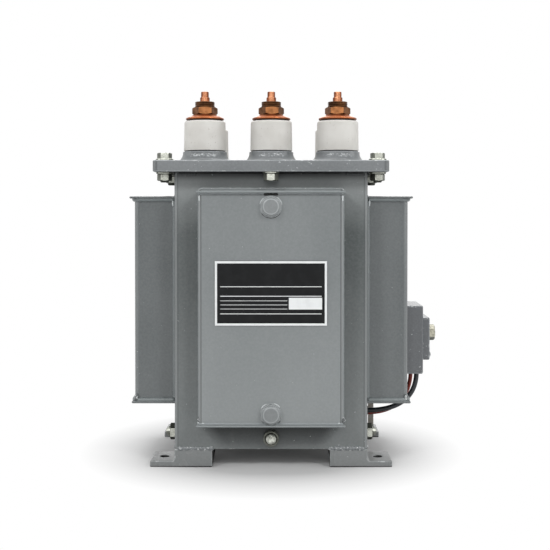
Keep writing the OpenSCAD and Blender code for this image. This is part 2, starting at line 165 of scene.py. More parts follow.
def within(tree: Tree, bands: Sequence[tuple[Any, Pair]], mask: Any = 1.0) -> Any:
    """Narrow a mask to where each of some bands lets it through.

    Args:
        tree: Material tree.
        bands: For each band, the socket that it reads, and where it begins and is full.
        mask: Mask to start from.

    Returns:
        Socket of the mask times every band.
    """
    for value, (start, full) in bands:
        feeds = {"Value": value, "From Min": start, "From Max": full}
        band = add(tree, "ShaderNodeMapRange", feeds, interpolation_type="SMOOTHSTEP").outputs[0]
        mask = add(tree, "ShaderNodeMath", {0: mask, 1: band}, operation="MULTIPLY").outputs[0]
    return mask


def laid_over(tree: Tree, base: Any, mask: Any, tone: str, most: float = 1.0) -> Any:
    """Lay a colour over another where a mask lets it through.

    Args:
        tree: Material tree.
        base: Colour, or socket of a colour, underneath.
        mask: Socket that goes from 0 to 1.
        tone: Colour on top, as #RRGGBB.
        most: Share of the top colour where the mask is 1.

    Returns:
        Socket of the resulting colour.
    """
    share = add(tree, "ShaderNodeMapRange", {"Value": mask, "To Min": 0.0, "To Max": most}).outputs[0]
    return add(tree, "ShaderNodeMix", {0: share, 6: base, 7: linear(tone)}, data_type="RGBA").outputs[2]


def surface_feeds(tree: Tree, colour: Any, wear: Any, rough: Pair, height: Any, strength: float) -> Feeds:
    """Feeds of a principled shader whose gloss follows its wear and whose relief follows a height.

    Args:
        tree: Material tree.
        colour: Socket of the base colour.
        wear: Socket that goes from 0 to 1.
        rough: Roughness where the wear is 0 and where it is 1.
        height: Socket of the relief, from 0 to 1.
        strength: How strongly the relief shows.

    Returns:
        Value or socket for each input of the shader.
    """
    low, high = rough
    gloss = add(tree, "ShaderNodeMapRange", {"Value": wear, "To Min": low, "To Max": high})
    bump = add(tree, "ShaderNodeBump", {"Strength": strength, "Distance": RELIEF, "Height": height})
    return {"Base Color": colour, "Roughness": gloss.outputs[0], "Normal": bump.outputs[0],
            "IOR": REFRACTION}


class Finish:
    """A finish whose material is made on first use."""

    name: str
    slot: Slot

    def surface(self, tree: Tree, where: Any) -> Feeds:
        """Feeds of the principled shader, given the piece's own coordinates."""
        raise NotImplementedError

    def material(self) -> bpy.types.Material:
        """The finish as a Blender material."""
        found = bpy.data.materials.get(self.name)
        if found:
            return found
        made = bpy.data.materials.new(self.name)
        tree = fresh_tree(made)
        where = add(tree, "ShaderNodeTexCoord").outputs["Object"]
        shader = add(tree, "ShaderNodeBsdfPrincipled", self.surface(tree, where))
        add(tree, "ShaderNodeOutputMaterial", {"Surface": shader.outputs[0]})
        return made


# Tones laid on an enamel: overspray, dust and painted light, painted shadow, and along folds grime with
# painted shade and pale wear with painted highlight
OVERSPRAY, DUST_AND_LIGHT_TONE, SHADOW_TONE = "#FFFFFF", "#C4C8C8", "#1C1D1D"
FOLD_GRIME_AND_SHADE, FOLD_WEAR_AND_HIGHLIGHT = "#434647", "#C2C6C7"
# Where those marks begin and are full: heights on the part, in metres
PALER_TO_FOOT, UNDER_LID, EAVE = (0.38, 0.09), (0.47, 0.555), (0.570, 0.588)
# The same for the painted shadow under a pocket: down the wall, below the cap, and in from its ends along a
# slant
DOWN_WALL, BELOW_CAP, PAST_SLANT, SLANT = (0.020, 0.088), (0.101, 0.091), (0.085, 0.050), -0.7
# The same round an upright fold, by the product of its normal's parts: beside the crown and on it
BESIDE_CROWN, ON_CROWN = (0.02, 0.12), (0.26, 0.45)


@dataclass(frozen=True)
class Enamel(Finish):
    """Alkyd enamel sprayed on rolled steel: a satin film, a little uneven, with small pale chips."""

    name: str
    tone: str
    chip_from: float = 0.735
    chip_mm: float = 7.0
    chip_tone: str = "#B4B8B8"
    peel: float = 0.12
    rough: float = 0.32
    # Shares of what lies over the tone: wear with painted highlight on a fold's crown, grime with painted
    # shade at its sides, dust with painted floor light, painted shadow, and painted light under the lid
    fold_pale: float = 0.0
    fold_grime: float = 0.35
    dusty: float = 0.0
    sheltered: float = 0.0
    kept: float = 0.0
    gloss: float = 0.5
    slot: Slot = Slot.PAINT

    def paler(self, ending: str, gain: float, **changes: Any) -> "Enamel":
        """The same enamel made paler, where it lies thinner or thicker than on the flat, and where pale paint
        stands in for light.

        Args:
            ending: What is added to the finish's name.
            gain: How much paler it looks.
            changes: Other fields that differ.

        Returns:
            The finish, without fold lines, dust and painted floor light, painted shadow, and painted light
            under the lid.
        """
        parts = [int(self.tone[i:i + 2], 16) for i in (1, 3, 5)]
        pale = "#" + "".join("%02X" % min(255, round(part * gain)) for part in parts)
        return replace(self, name=self.name + ending, tone=pale, fold_pale=0.0, dusty=0.0, sheltered=0.0,
                       kept=0.0, **changes)

    def worn(self, gain: float = 1.25) -> "Enamel":
        """The same enamel where an edge has rubbed it thin and paler by the given gain."""
        return self.paler("_worn_edge", gain, chip_from=0.58, chip_mm=8.0)

    def chips(self, tree: Tree, where: Any) -> Any:
        """Socket that is 1 on chips and dust nibs, which come in loose swarms."""
        return patches(tree, where, self.chip_mm, self.chip_from, self.chip_from + 0.035, 5)

    def fold_lines(self, tree: Tree, base: Any) -> Any:
        """Lay pale wear with a painted highlight along an upright fold's crown, and grime with painted shade
        in a line to either side.

        Args:
            tree: Material tree.
            base: Socket of the enamel's colour.

        Returns:
            Socket of the colour with the lines.
        """
        way = add(tree, "ShaderNodeTexCoord").outputs["Normal"]
        part = add(tree, "ShaderNodeSeparateXYZ", {0: way}).outputs
        both = add(tree, "ShaderNodeMath", {0: part["X"], 1: part["Y"]}, operation="MULTIPLY").outputs[0]
        turn = add(tree, "ShaderNodeMath", {0: both}, operation="ABSOLUTE").outputs[0]
        lines = ((BESIDE_CROWN, FOLD_GRIME_AND_SHADE, self.fold_grime), (ON_CROWN, FOLD_WEAR_AND_HIGHLIGHT, self.fold_pale))
        for band, tone, most in lines:
            base = laid_over(tree, base, within(tree, [(turn, band)]), tone, most)
        return base

    def shelter(self, tree: Tree, spot: Any) -> Any:
        """Find where shadow is painted, under a pocket's lower cap and just under the lid.

        Args:
            tree: Material tree.
            spot: Sockets of the piece's own coordinates.

        Returns:
            Socket that is 1 there and goes to 0 down the wall.
        """
        side = add(tree, "ShaderNodeMath", {0: spot["X"]}, operation="ABSOLUTE").outputs[0]
        line = {0: spot["Z"], 1: SLANT, 2: side}
        slant = add(tree, "ShaderNodeMath", line, operation="MULTIPLY_ADD").outputs[0]
        low = within(tree, [(slant, PAST_SLANT), (spot["Z"], DOWN_WALL), (spot["Z"], BELOW_CAP)])
        high = within(tree, [(spot["Z"], EAVE)])
        return add(tree, "ShaderNodeMath", {0: low, 1: high}, operation="MAXIMUM").outputs[0]

    def surface(self, tree: Tree, where: Any) -> Feeds:
        """Feeds of the principled shader."""
        # Film thickness drifts over a hand's breadth and runs downwards a little
        drift = patches(tree, where, 130, 0.34, 0.66, 2, (1, 1, 0.45))
        film = laid_over(tree, linear(self.tone), drift, OVERSPRAY, 0.020)
        # Dry overspray lies in grains of about 1 mm, drawn at 4 mm so that they show
        film = laid_over(tree, film, patches(tree, where, 4, 0.30, 0.72, 3), OVERSPRAY, 0.026)
        # Thin rubbed marks that run down the sheet
        rub = patches(tree, where, 22, 0.66, 0.78, 4, (1, 1, 0.16))
        film = laid_over(tree, film, rub, self.chip_tone, 0.08)
        spot = add(tree, "ShaderNodeSeparateXYZ", {0: where}).outputs
        # Paler towards a sheet's foot, as dust and painted light bounced from the floor, and paler under the
        # lid, as painted light
        for share, (start, full) in ((self.dusty, PALER_TO_FOOT), (self.kept, UNDER_LID)):
            if share:
                ramp = {"Value": spot["Z"], "From Min": start, "From Max": full}
                film = laid_over(tree, film, add(tree, "ShaderNodeMapRange", ramp).outputs[0], DUST_AND_LIGHT_TONE, share)
        # Painted shadow under a pocket's lower cap and just under the lid
        if self.sheltered:
            film = laid_over(tree, film, self.shelter(tree, spot), SHADOW_TONE, self.sheltered)
        # Pale wear with painted highlight on fold crowns, and grime with painted shade beside them
        if self.fold_pale:
            film = self.fold_lines(tree, film)
        chip = self.chips(tree, where)
        film = laid_over(tree, film, chip, self.chip_tone)
        # Orange peel of a sprayed film, about 2 mm from crest to crest, drawn at 3 mm
        peel = patches(tree, where, 3, 0.2, 0.8, 2)
        relief = add(tree, "ShaderNodeMath", {0: peel, 1: chip}, operation="SUBTRACT").outputs[0]
        rough = (self.rough - 0.04, self.rough + 0.06)
        feeds = surface_feeds(tree, film, drift, rough, relief, self.peel)
        return {**feeds, "Specular IOR Level": self.gloss}


@dataclass(frozen=True)
class ScuffedEnamel(Enamel):
    """Enamel on a turret, scuffed bright near its top where the porcelain was seated from the front."""

    foot_z: Pair = (0.621, 0.625)
    head_z: Pair = (0.631, 0.629)
    near_y: Pair = (-0.125, -0.130)

    def chips(self, tree: Tree, where: Any) -> Any:
        """Socket that is 1 on the scuffs."""
        marks = patches(tree, where, self.chip_mm, self.chip_from, self.chip_from + 0.16, 3, (0.6, 0.6, 1.2))
        spot = add(tree, "ShaderNodeSeparateXYZ", {0: where}).outputs
        bands = [(spot["Z"], self.foot_z), (spot["Z"], self.head_z), (spot["Y"], self.near_y)]
        return within(tree, bands, marks)


@dataclass(frozen=True)
class Porcelain(Finish):
    """Matt fired porcelain: chalky, warm white, with iron specks and hand marks."""

    name: str = "fired_matt_porcelain"
    tone: str = "#DBD9D4"
    shade: str = "#CDCAC4"
    speck: str = "#9A8F82"
    slot: Slot = Slot.PORCELAIN

    def surface(self, tree: Tree, where: Any) -> Feeds:
        """Feeds of the principled shader."""
        handled = patches(tree, where, 38, 0.36, 0.70, 3)
        body = laid_over(tree, linear(self.tone), handled, self.shade, 0.6)
        # Iron specks of under 1 mm, drawn at 3 mm so that they show
        body = laid_over(tree, body, patches(tree, where, 3.2, 0.69, 0.75, 2), self.speck, 0.6)
        grain = patches(tree, where, 2.5, 0.2, 0.8, 3)
        return surface_feeds(tree, body, handled, (0.52, 0.66), grain, 0.16)


@dataclass(frozen=True)
class Metal(Finish):
    """Bare or plated metal: a bright tone, a tarnish that gathers in patches, turned or cast marks."""

    name: str
    tone: str
    tarnish: str
    slot: Slot
    patch_mm: float = 14.0
    share: float = 0.7
    rough: float = 0.36
    metallic: float = 1.0

    def surface(self, tree: Tree, where: Any) -> Feeds:
        """Feeds of the principled shader."""
        stain = patches(tree, where, self.patch_mm, 0.38, 0.68, 4)
        body = laid_over(tree, linear(self.tone), stain, self.tarnish, self.share)
        body = laid_over(tree, body, patches(tree, where, 3.5, 0.66, 0.74, 3), self.tarnish, 0.5)
        # Tool marks 1.6 mm apart run round the piece, so the noise is squeezed six times along Z
        lines = patches(tree, where, 1.6 * 6, 0.25, 0.75, 2, (1, 1, 6))
        feeds = surface_feeds(tree, body, stain, (self.rough - 0.05, self.rough + 0.14), lines, 0.2)
        return {**feeds, "Metallic": self.metallic}


@dataclass(frozen=True)
class Moulded(Finish):
    """Moulded, extruded or printed polymer: deep colour, a dull bloom and a fine grain."""

    name: str
    tone: str
    bloom: str
    slot: Slot
    rough: float = 0.5
    gloss: float = 0.5

    def surface(self, tree: Tree, where: Any) -> Feeds:
        """Feeds of the principled shader."""
        dust = patches(tree, where, 16, 0.40, 0.75, 4)
        body = laid_over(tree, linear(self.tone), dust, self.bloom, 0.7)
        grain = patches(tree, where, 2, 0.2, 0.8, 2)
        feeds = surface_feeds(tree, body, dust, (self.rough - 0.06, self.rough + 0.12), grain, 0.12)
        return {**feeds, "Specular IOR Level": self.gloss}


# Sprayed enamel: palest on the front sheet and the feet, darker on the tank behind
SPRAYED = "sprayed_alkyd_enamel_"
PANEL_PAINT = Enamel(SPRAYED + "pale_grey", "#757A7B", chip_mm=5.0, fold_pale=0.36, fold_grime=0.8,
                     dusty=0.20)
LID_PAINT = Enamel(SPRAYED + "mid_grey", "#6C7072", 0.68, 5.0, fold_pale=0.05, fold_grime=0.5)
FOOT_PAINT = Enamel(SPRAYED + "on_foot", "#7A7D7D", 0.70, 5.0, rough=0.26)
TANK_PAINT = Enamel(SPRAYED + "tank_grey", "#555A5A", 0.715, 4.6, fold_pale=0.22, dusty=0.20, sheltered=0.8,
                    kept=0.30, gloss=0.22)
SIDE_PAINT = Enamel(SPRAYED + "pocket_grey", "#595E5F", 0.715, 4.6, fold_pale=0.10, fold_grime=0.06,
                    dusty=0.05)
PLUG_PAINT = Enamel(SPRAYED + "on_plug", "#797D7E", chip_mm=5.0)
# Near black under the rim, as painted shadow under the lid
RIM_SHADOW_PAINT = Enamel(SPRAYED + "under_rim", "#2C2D2E", gloss=0.2)
# The earth bar's tone is lightened, as painted light against the shade it stands in
BAR_PAINT = Enamel("brushed_primer_on_bar", "#8C867E", 0.68)
BOX_PAINT = Enamel(SPRAYED + "on_box", "#616467", 0.685, 5.0)
TURRET_PAINT = ScuffedEnamel(SPRAYED + "on_turret", "#6E7274", 0.48, 3.4, "#BDC1C2")
# Enamel over weld metal, chipped on its crests; pale enamel on weld toes as a painted highlight, and pale
# glossy dabs as painted glints
SEAM_PAINT = Enamel(SPRAYED + "on_weld", "#777B7D", 0.58, 5.0, "#CDD0D0")
TOE_HIGHLIGHT_PAINT = Enamel(SPRAYED + "on_weld_toe", "#ADB2B3", 0.60, 6.0, "#D6D9D9")
BLOB_PAINT = Enamel(SPRAYED + "on_blob", "#505455", 0.52, 4.0, "#C9CDCD")
GLINT_PAINT = Enamel(SPRAYED + "pooled", "#C6CBCC", rough=0.2)
# Painted shade and deep painted shadow, dead to the light
SHADE_PAINT = Enamel("grimed_alkyd_enamel_in_corner", "#3E4142", rough=0.5, gloss=0.25)
DEEP_SHADOW_PAINT = Enamel("packed_grime_in_gap", "#1B1B1A", rough=0.7, gloss=0.08)
FIRED = Porcelain()
# Copper and brass, bright where they are rubbed and brown elsewhere; the shaded copies paint shade on faces
# turned from the light
COPPER = Metal("turned_copper", "#C08664", "#84503A", Slot.COPPER, 9, 0.5, 0.34)
SHADED_COPPER = Metal("turned_copper_unrubbed", "#7C472E", "#5C3322", Slot.COPPER, 9, rough=0.42)
WASHER_COPPER = Metal("pressed_copper", "#AA6640", "#6A3D27", Slot.COPPER, rough=0.38)
BRASS = Metal("browned_brass", "#986540", "#6B452A", Slot.BRASS, 9, 0.6, 0.38)
SHADED_BRASS = Metal("browned_brass_unrubbed", "#6F4A2F", "#4A301E", Slot.BRASS, 12, rough=0.44)
DARK_BRASS = Metal("dark_browned_brass", "#5A3C25", "#33231A", Slot.BRASS, 16, rough=0.44)
# Zinc plate, whose passivation dulls it to a chalky, half metallic grey
ZINC = Metal("passivated_zinc_plate", "#C6C8BE", "#82847A", Slot.ZINC, 7, 0.4, 0.32, 0.6)
CREAM_ZINC = Metal("rubbed_zinc_plate", "#CBC8B6", "#8A887A", Slot.ZINC, 5, rough=0.5, metallic=0.2)
# Darker zinc copies: painted shade, and deeper painted shade, on faces turned from the light
SHADED_ZINC = Metal("weathered_zinc_plate", "#6C6E66", "#44463F", Slot.ZINC, 9, 0.45, 0.48, 0.3)
DEEP_SHADED_ZINC = Metal("blackened_zinc_plate", "#484A43", "#2A2C27", Slot.ZINC, 9, rough=0.5, metallic=0.5)
CAST_ZINC = Metal("rough_cast_zinc", "#D6D8CF", "#55574F", Slot.ZINC, 6, 0.8, 0.42, 0.7)
# Painted shade for the feet's bolt holes
BORE_SHADE = Metal("drilled_black_steel", "#1C1C1C", "#101010", Slot.PAINT, rough=0.7, metallic=0.2)
# Polymers and print, even in tone
SEAL_RUBBER = Moulded("moulded_nitrile_rubber", "#202122", "#353637", Slot.RUBBER, 0.62, 0.3)
BLACK_SHEATH = Moulded("extruded_black_sheath", "#1E2125", "#2D3136", Slot.RUBBER, 0.40)
RED_SHEATH = Moulded("extruded_red_sheath", "#80281A", "#4E1912", Slot.RED, 0.42, 0.4)
PLATE_ENAMEL = Moulded("black_enamelled_plate", "#1A1B1C", "#222324", Slot.PLATE, 0.45, 0.12)
PLATE_PRINT = Moulded("white_screen_print", "#E9ECEC", "#DCDFDF", Slot.PLATE)


def link(name: str, data: Any) -> Piece:
    """New object at the origin that holds a mesh or other data."""
    piece = bpy.data.objects.new(name, data)
    bpy.context.scene.collection.objects.link(piece)
    return piece


def freeze(piece: Piece) -> Piece:
    """Turn a piece with its modifiers into one plain mesh.

    Args:
        piece: Object whose modifiers are evaluated and then removed.

    Returns:
        The same object with its new mesh.
    """
    bpy.context.view_layer.update()
    graph = bpy.context.evaluated_depsgraph_get()
    mesh = bpy.data.meshes.new_from_object(piece.evaluated_get(graph), depsgraph=graph)
    spent = piece.data
    piece.modifiers.clear()
    piece.data = mesh
    bpy.data.meshes.remove(spent)
    mesh.name = piece.name
    return piece


def settle(piece: Piece, slot: Slot, *nodes: str) -> Piece:
    """Tie a finished piece to the part and report it.

    Args:
        piece: Finished object.
        slot: Material slot that its finish comes from.
        nodes: Solids that it stands for.

    Returns:
        The same object.
    """
    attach(piece, BODY)
    if nodes:
        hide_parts(*nodes)
    LOG.info("%s: %s, stands for %s", piece.name, slot.value, ", ".join(nodes) or "no solid")
    return piece


def soften(piece: Piece, width_mm: float) -> Piece:
    """Round a piece's sharp edges, with the second material on them where there is one.

    Args:
        piece: Object with sharp edges.
        width_mm: Width of the rounding.

    Returns:
        The same object as a plain mesh, smooth to the eye.
    """
    bevel = piece.modifiers.new("edges", "BEVEL")
    bevel.width = width_mm * MM
    bevel.segments = 2
    bevel.limit_method = "ANGLE"
    bevel.angle_limit = ROUNDED
    bevel.use_clamp_overlap = False
    bevel.material = 1 if len(piece.data.materials) > 1 else -1
    piece.data.shade_smooth()
    weight = piece.modifiers.new("normals", "WEIGHTED_NORMAL")
    weight.mode = "FACE_AREA_WITH_ANGLE"
    weight.keep_sharp = True
    return freeze(piece)


def dress(node: str, finish: Finish, edge_mm: float, edge: Finish | None = None,
          shape: Callable[[Vector], Vector] | None = None) -> Piece:
    """Copy a solid, round its edges and give it its finish.

    Args:
        node: Solid to stand for.
        finish: Finish of its faces.
        edge_mm: Width of the rounded edges.
        edge: Finish of the rounded edges, where it differs.
        shape: Where a point of the solid goes, for a piece that was trimmed or bent.

    Returns:
        The finished piece.
    """
    sketch = bmesh.new()
    sketch.from_mesh(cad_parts[node].data)
    bmesh.ops.remove_doubles(sketch, verts=sketch.verts, dist=MERGE)
    bmesh.ops.dissolve_limit(sketch, angle_limit=FLAT, verts=sketch.verts, edges=sketch.edges)
    if shape:
        for corner in sketch.verts:
            corner.co = shape(corner.co)
    mesh = bpy.data.meshes.new(node)
    sketch.to_mesh(mesh)
    sketch.free()
    for item in (finish, edge):
        if item:
            mesh.materials.append(item.material())
    piece = soften(link(node + "_dressed", mesh), edge_mm)
    return settle(piece, finish.slot, node)


def tint(piece: Piece, finish: Finish, chosen: Callable[[Vector, Vector], bool]) -> None:
    """Give some faces of a piece another finish.

    Args:
        piece: Finished piece.
        finish: Finish of the chosen faces.
        chosen: Says of a face's middle, in millimetres, and its normal whether it is one of them.
    """
    piece.data.materials.append(finish.material())
    last = len(piece.data.materials) - 1
    for face in piece.data.polygons:
        if chosen(face.center / MM, face.normal):
            face.material_index = last


def coat(node: str, finish: Finish) -> None:
    """Give a solid that stays showing its finish."""
    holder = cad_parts[node]
    for place in holder.material_slots:
        place.material = finish.material()


class Sketch:
    """Collects closed shapes in millimetres and makes one mesh of them."""

    # Points round a turned shape, round a slim one and round a hexagon
    ROUND, SLIM, SIX = 36, 24, 48
    # A chamfer's height and its end's radius, as shares of what the corners stand out and of half the flats
    CHAMFER, FACE = 0.6, 0.98

    def __init__(self) -> None:
        """Start with nothing drawn."""
        self.bm = bmesh.new()

    def loft(self, rings: Sequence[Sequence[Sequence[float]]]) -> None:
        """Close a skin over rings of points that run the same way, with both ends filled."""
        rows = [[self.bm.verts.new(Vector(p) * MM) for p in ring] for ring in rings]
        count = len(rows[0])
        for low, high in zip(rows, rows[1:]):
            for i in range(count):
                j = (i + 1) % count
                self.bm.faces.new((low[i], low[j], high[j], high[i]))
        self.bm.faces.new(list(reversed(rows[0])))
        self.bm.faces.new(rows[-1])

    def turn(self, profile: Profile, place: Matrix | None = None, sides: int = ROUND,
             reach: Callable[[float], float] | None = None) -> None:
        """Turn a profile of radius and height about an axis.

        Args:
            profile: Pairs of radius and height, from one end to the other.
            place: Where the axis stands, if not at the origin.
            sides: Points of a ring.
            reach: Largest radius at an angle, for a shape that isn't round.
        """
        place = place or Matrix.Identity(4)
        rings = []
        for radius, height in profile:
            ring = []
            for i in range(sides):
                angle = 2 * math.pi * i / sides
                r = min(radius, reach(angle)) if reach else radius
                ring.append(place @ Vector((r * math.cos(angle), r * math.sin(angle), height)))
            rings.append(ring)
        self.loft(rings)

    def hexagon(self, flats: float, low: float, high: float, lower_chamfer: bool = True) -> None:
        """Hexagon head or nut with turned chamfers.

        Args:
            flats: Width across flats.
            low: Height of its lower face.
            high: Height of its upper face.
            lower_chamfer: Whether the lower end is chamfered too.
        """
        sixth = math.pi / 3
        corner = flats / 2 / math.cos(sixth / 2)
        drop = (corner - flats / 2) * self.CHAMFER
        face = flats / 2 * self.FACE
        profile = [(face, low), (corner, low + drop)] if lower_chamfer else [(corner, low)]
        profile += [(corner, high - drop), (face, high)]
        self.turn(profile, None, self.SIX, lambda a: flats / 2 / math.cos((a % sixth) - sixth / 2))

    def block(self, low: Point, high: Point) -> None:
        """Box between two corners."""
        (x0, y0, z0), (x1, y1, z1) = low, high
        self.loft([[(x0, y0, z), (x1, y0, z), (x1, y1, z), (x0, y1, z)] for z in (z0, z1)])

    def make(self, name: str, finish: Finish, edge_mm: float = 0.0) -> Piece:
        """End the sketch as an object.

        Args:
            name: Name of the object.
            finish: Its finish.
            edge_mm: Width of its rounded edges, or 0 for none.

        Returns:
            The object.
        """
        bmesh.ops.recalc_face_normals(self.bm, faces=self.bm.faces)
        mesh = bpy.data.meshes.new(name)
        self.bm.to_mesh(mesh)
        self.bm.free()
        mesh.materials.append(finish.material())
        piece = link(name, mesh)
        if edge_mm:
            return soften(piece, edge_mm)
        mesh.shade_smooth()
        mesh.set_sharp_from_angle(angle=SHARP)
        return piece


class NodeTool:
    """A geometry tree with named inputs that is run on an object and left as a plain mesh."""

    def __init__(self, name: str, inputs: dict[str, str]) -> None:
        """Start the tree.

        Args:
            name: Name of the tree.
            inputs: Kind of socket for each named input.
        """
        self.tree = bpy.data.node_groups.new(name, "GeometryNodeTree")
        face = self.tree.interface
        face.new_socket("Geometry", in_out="INPUT", socket_type="NodeSocketGeometry")
        self.keys = {}
        for label, kind in {**inputs, "Material": "Material"}.items():
            socket = face.new_socket(label, in_out="INPUT", socket_type="NodeSocket" + kind)
            self.keys[label] = socket.identifier
        face.new_socket("Geometry", in_out="OUTPUT", socket_type="NodeSocketGeometry")
        self.inputs = add(self.tree, "NodeGroupInput").outputs

    def end(self, geometry: Any) -> None:
        """Close the tree with real geometry and its material."""
        real = add(self.tree, "GeometryNodeRealizeInstances", {0: geometry}).outputs[0]
        dressed = {"Geometry": real, "Material": self.inputs["Material"]}
        done = add(self.tree, "GeometryNodeSetMaterial", dressed).outputs[0]
        add(self.tree, "NodeGroupOutput", {0: done})

    def run(self, name: str, points: Sequence[Point], edges: Sequence[tuple[int, int]], finish: Finish,
            values: dict[str, Any]) -> Piece:
        """Run the tree on points and edges and settle the result as a piece.

        Args:
            name: Name of the piece.
            points: Points in millimetres.
            edges: Pairs of points that are joined.
            finish: Finish of the piece.
            values: Value for each named input.

        Returns:
            The finished piece.
        """
        mesh = bpy.data.meshes.new(name)
        mesh.from_pydata([Vector(p) * MM for p in points], edges, [])
        piece = link(name, mesh)
        step = piece.modifiers.new(self.tree.name, "NODES")
        step.node_group = self.tree
        for label, value in {**values, "Material": finish.material()}.items():
            step[self.keys[label]] = value
        return settle(freeze(piece), finish.slot)


class BeadTool(NodeTool):
    """Lays a weld bead along each run of edges: a tube with ripples, uneven size and rounded ends."""

    # Points round the bead, its thickness at an end, steps to a ripple and the length of a sway
    ROUND, END, STEPS, SWAY_MM = 12, 0.2, 5, 11

    def __init__(self) -> None:
        """Build the tree."""
        names = ("Radius", "Step", "Half Pitch", "Dip", "Least", "Most", "Seed")
        super().__init__("weld_bead", {label: "Float" for label in names})
        tree, feed = self.tree, self.inputs
        line = add(tree, "GeometryNodeMeshToCurve", {"Mesh": feed["Geometry"]}).outputs[0]
        even = {"Curve": line, "Length": feed["Step"]}
        line = add(tree, "GeometryNodeResampleCurve", even, mode="LENGTH").outputs[0]
        along = add(tree, "GeometryNodeSplineParameter").outputs["Length"]
        whole = add(tree, "GeometryNodeSplineLength").outputs["Length"]
        # Both ends close within one radius
        last = add(tree, "ShaderNodeMath", {0: whole, 1: feed["Radius"]}, operation="SUBTRACT").outputs[0]
        opening = {"Value": along, "From Max": feed["Radius"], "To Min": self.END}
        closing = {"Value": along, "From Min": whole, "From Max": last, "To Min": self.END}
        # Each ripple is one dab of the rod
        beat = add(tree, "ShaderNodeMath", {0: along, 1: feed["Half Pitch"]}, operation="PINGPONG").outputs[0]
        dab = {"Value": beat, "From Max": feed["Half Pitch"], "To Min": feed["Dip"]}
        spot = add(tree, "GeometryNodeInputPosition").outputs[0]
        wander = {"Vector": spot, "W": feed["Seed"], "Scale": 1 / (self.SWAY_MM * MM), "Detail": 2.0}
        noise = add(tree, "ShaderNodeTexNoise", wander, noise_dimensions="4D").outputs[0]
        sway = {"Value": noise, "From Min": 0.3, "From Max": 0.7, "To Min": feed["Least"],
                "To Max": feed["Most"]}
        size: Any = 1.0
        for feeds in (opening, closing, dab, sway):
            share = add(tree, "ShaderNodeMapRange", feeds, interpolation_type="SMOOTHSTEP").outputs[0]
            size = add(tree, "ShaderNodeMath", {0: size, 1: share}, operation="MULTIPLY").outputs[0]
        circle = {"Resolution": self.ROUND, "Radius": feed["Radius"]}
        ring = add(tree, "GeometryNodeCurvePrimitiveCircle", circle).outputs[0]
        sweep = {"Curve": line, "Profile Curve": ring, "Scale": size, "Fill Caps": True}
        tube = add(tree, "GeometryNodeCurveToMesh", sweep).outputs[0]
        self.end(add(tree, "GeometryNodeSetShadeSmooth", {"Geometry": tube}).outputs[0])

    def lay(self, name: str, runs: Sequence[Run], radius_mm: float, finish: Finish, ripple: float,
            uneven: float, seed: float, pitch_mm: float = 6.0) -> None:
        """Lay beads along runs of points.

        Args:
            name: Name of the piece.
            runs: Open lines of points, in millimetres.
            radius_mm: Radius of the bead.
            finish: Finish of the bead.
            ripple: How far the bead sinks between two ripples, as a share of its radius.
            uneven: How far the radius sways.
            seed: Place in the noise.
            pitch_mm: Distance between ripples.
        """
        edges, start = [], 0
        for run in runs:
            edges += [(start + i, start + i + 1) for i in range(len(run) - 1)]
            start += len(run)
        self.run(name, [p for run in runs for p in run], edges, finish, {
            "Radius": radius_mm * MM, "Step": pitch_mm * MM / self.STEPS, "Half Pitch": pitch_mm * MM / 2,
            "Dip": 1 - ripple, "Least": 1 - uneven / 2, "Most": 1 + uneven / 2, "Seed": seed})


class FastenerTool(NodeTool):
    """Sets a copy of one fastener at each point, each turned a little differently."""

    EDGE_MM = 0.5

    def __init__(self) -> None:
        """Build the tree."""
        super().__init__("fastener_set", {
            "Fastener": "Object", "Least Turn": "Float", "Most Turn": "Float", "Seed": "Int"})
        tree, feed = self.tree, self.inputs
        item = add(tree, "GeometryNodeObjectInfo", {"Object": feed["Fastener"]}).outputs["Geometry"]
        spread = {2: feed["Least Turn"], 3: feed["Most Turn"], "Seed": feed["Seed"]}
        turn = add(tree, "FunctionNodeRandomValue", spread).outputs[1]
        twist = add(tree, "ShaderNodeCombineXYZ", {"Z": turn}).outputs[0]
        self.end(add(tree, "GeometryNodeInstanceOnPoints", {
            "Points": feed["Geometry"], "Instance": item, "Rotation": twist}).outputs[0])

    def place(self, name: str, pattern: Sketch, points: Sequence[Point], finish: Finish, turn_deg: float,
              seed: int) -> Piece:
        """Set fasteners at points and take the pattern piece away.

        Args:
            name: Name of the piece.
            pattern: One fastener, drawn about the origin.
            points: Places, in millimetres.
            finish: Finish of the fasteners.
            turn_deg: Largest turn either way.
            seed: Seed of the turns.

        Returns:
            The finished piece.
        """
        fastener = pattern.make(name + "_pattern", finish, self.EDGE_MM)
        turn = math.radians(turn_deg)
        piece = self.run(name, points, [], finish, {
            "Fastener": fastener, "Least Turn": -turn, "Most Turn": turn, "Seed": seed})
        bpy.data.objects.remove(fastener)
        return piece


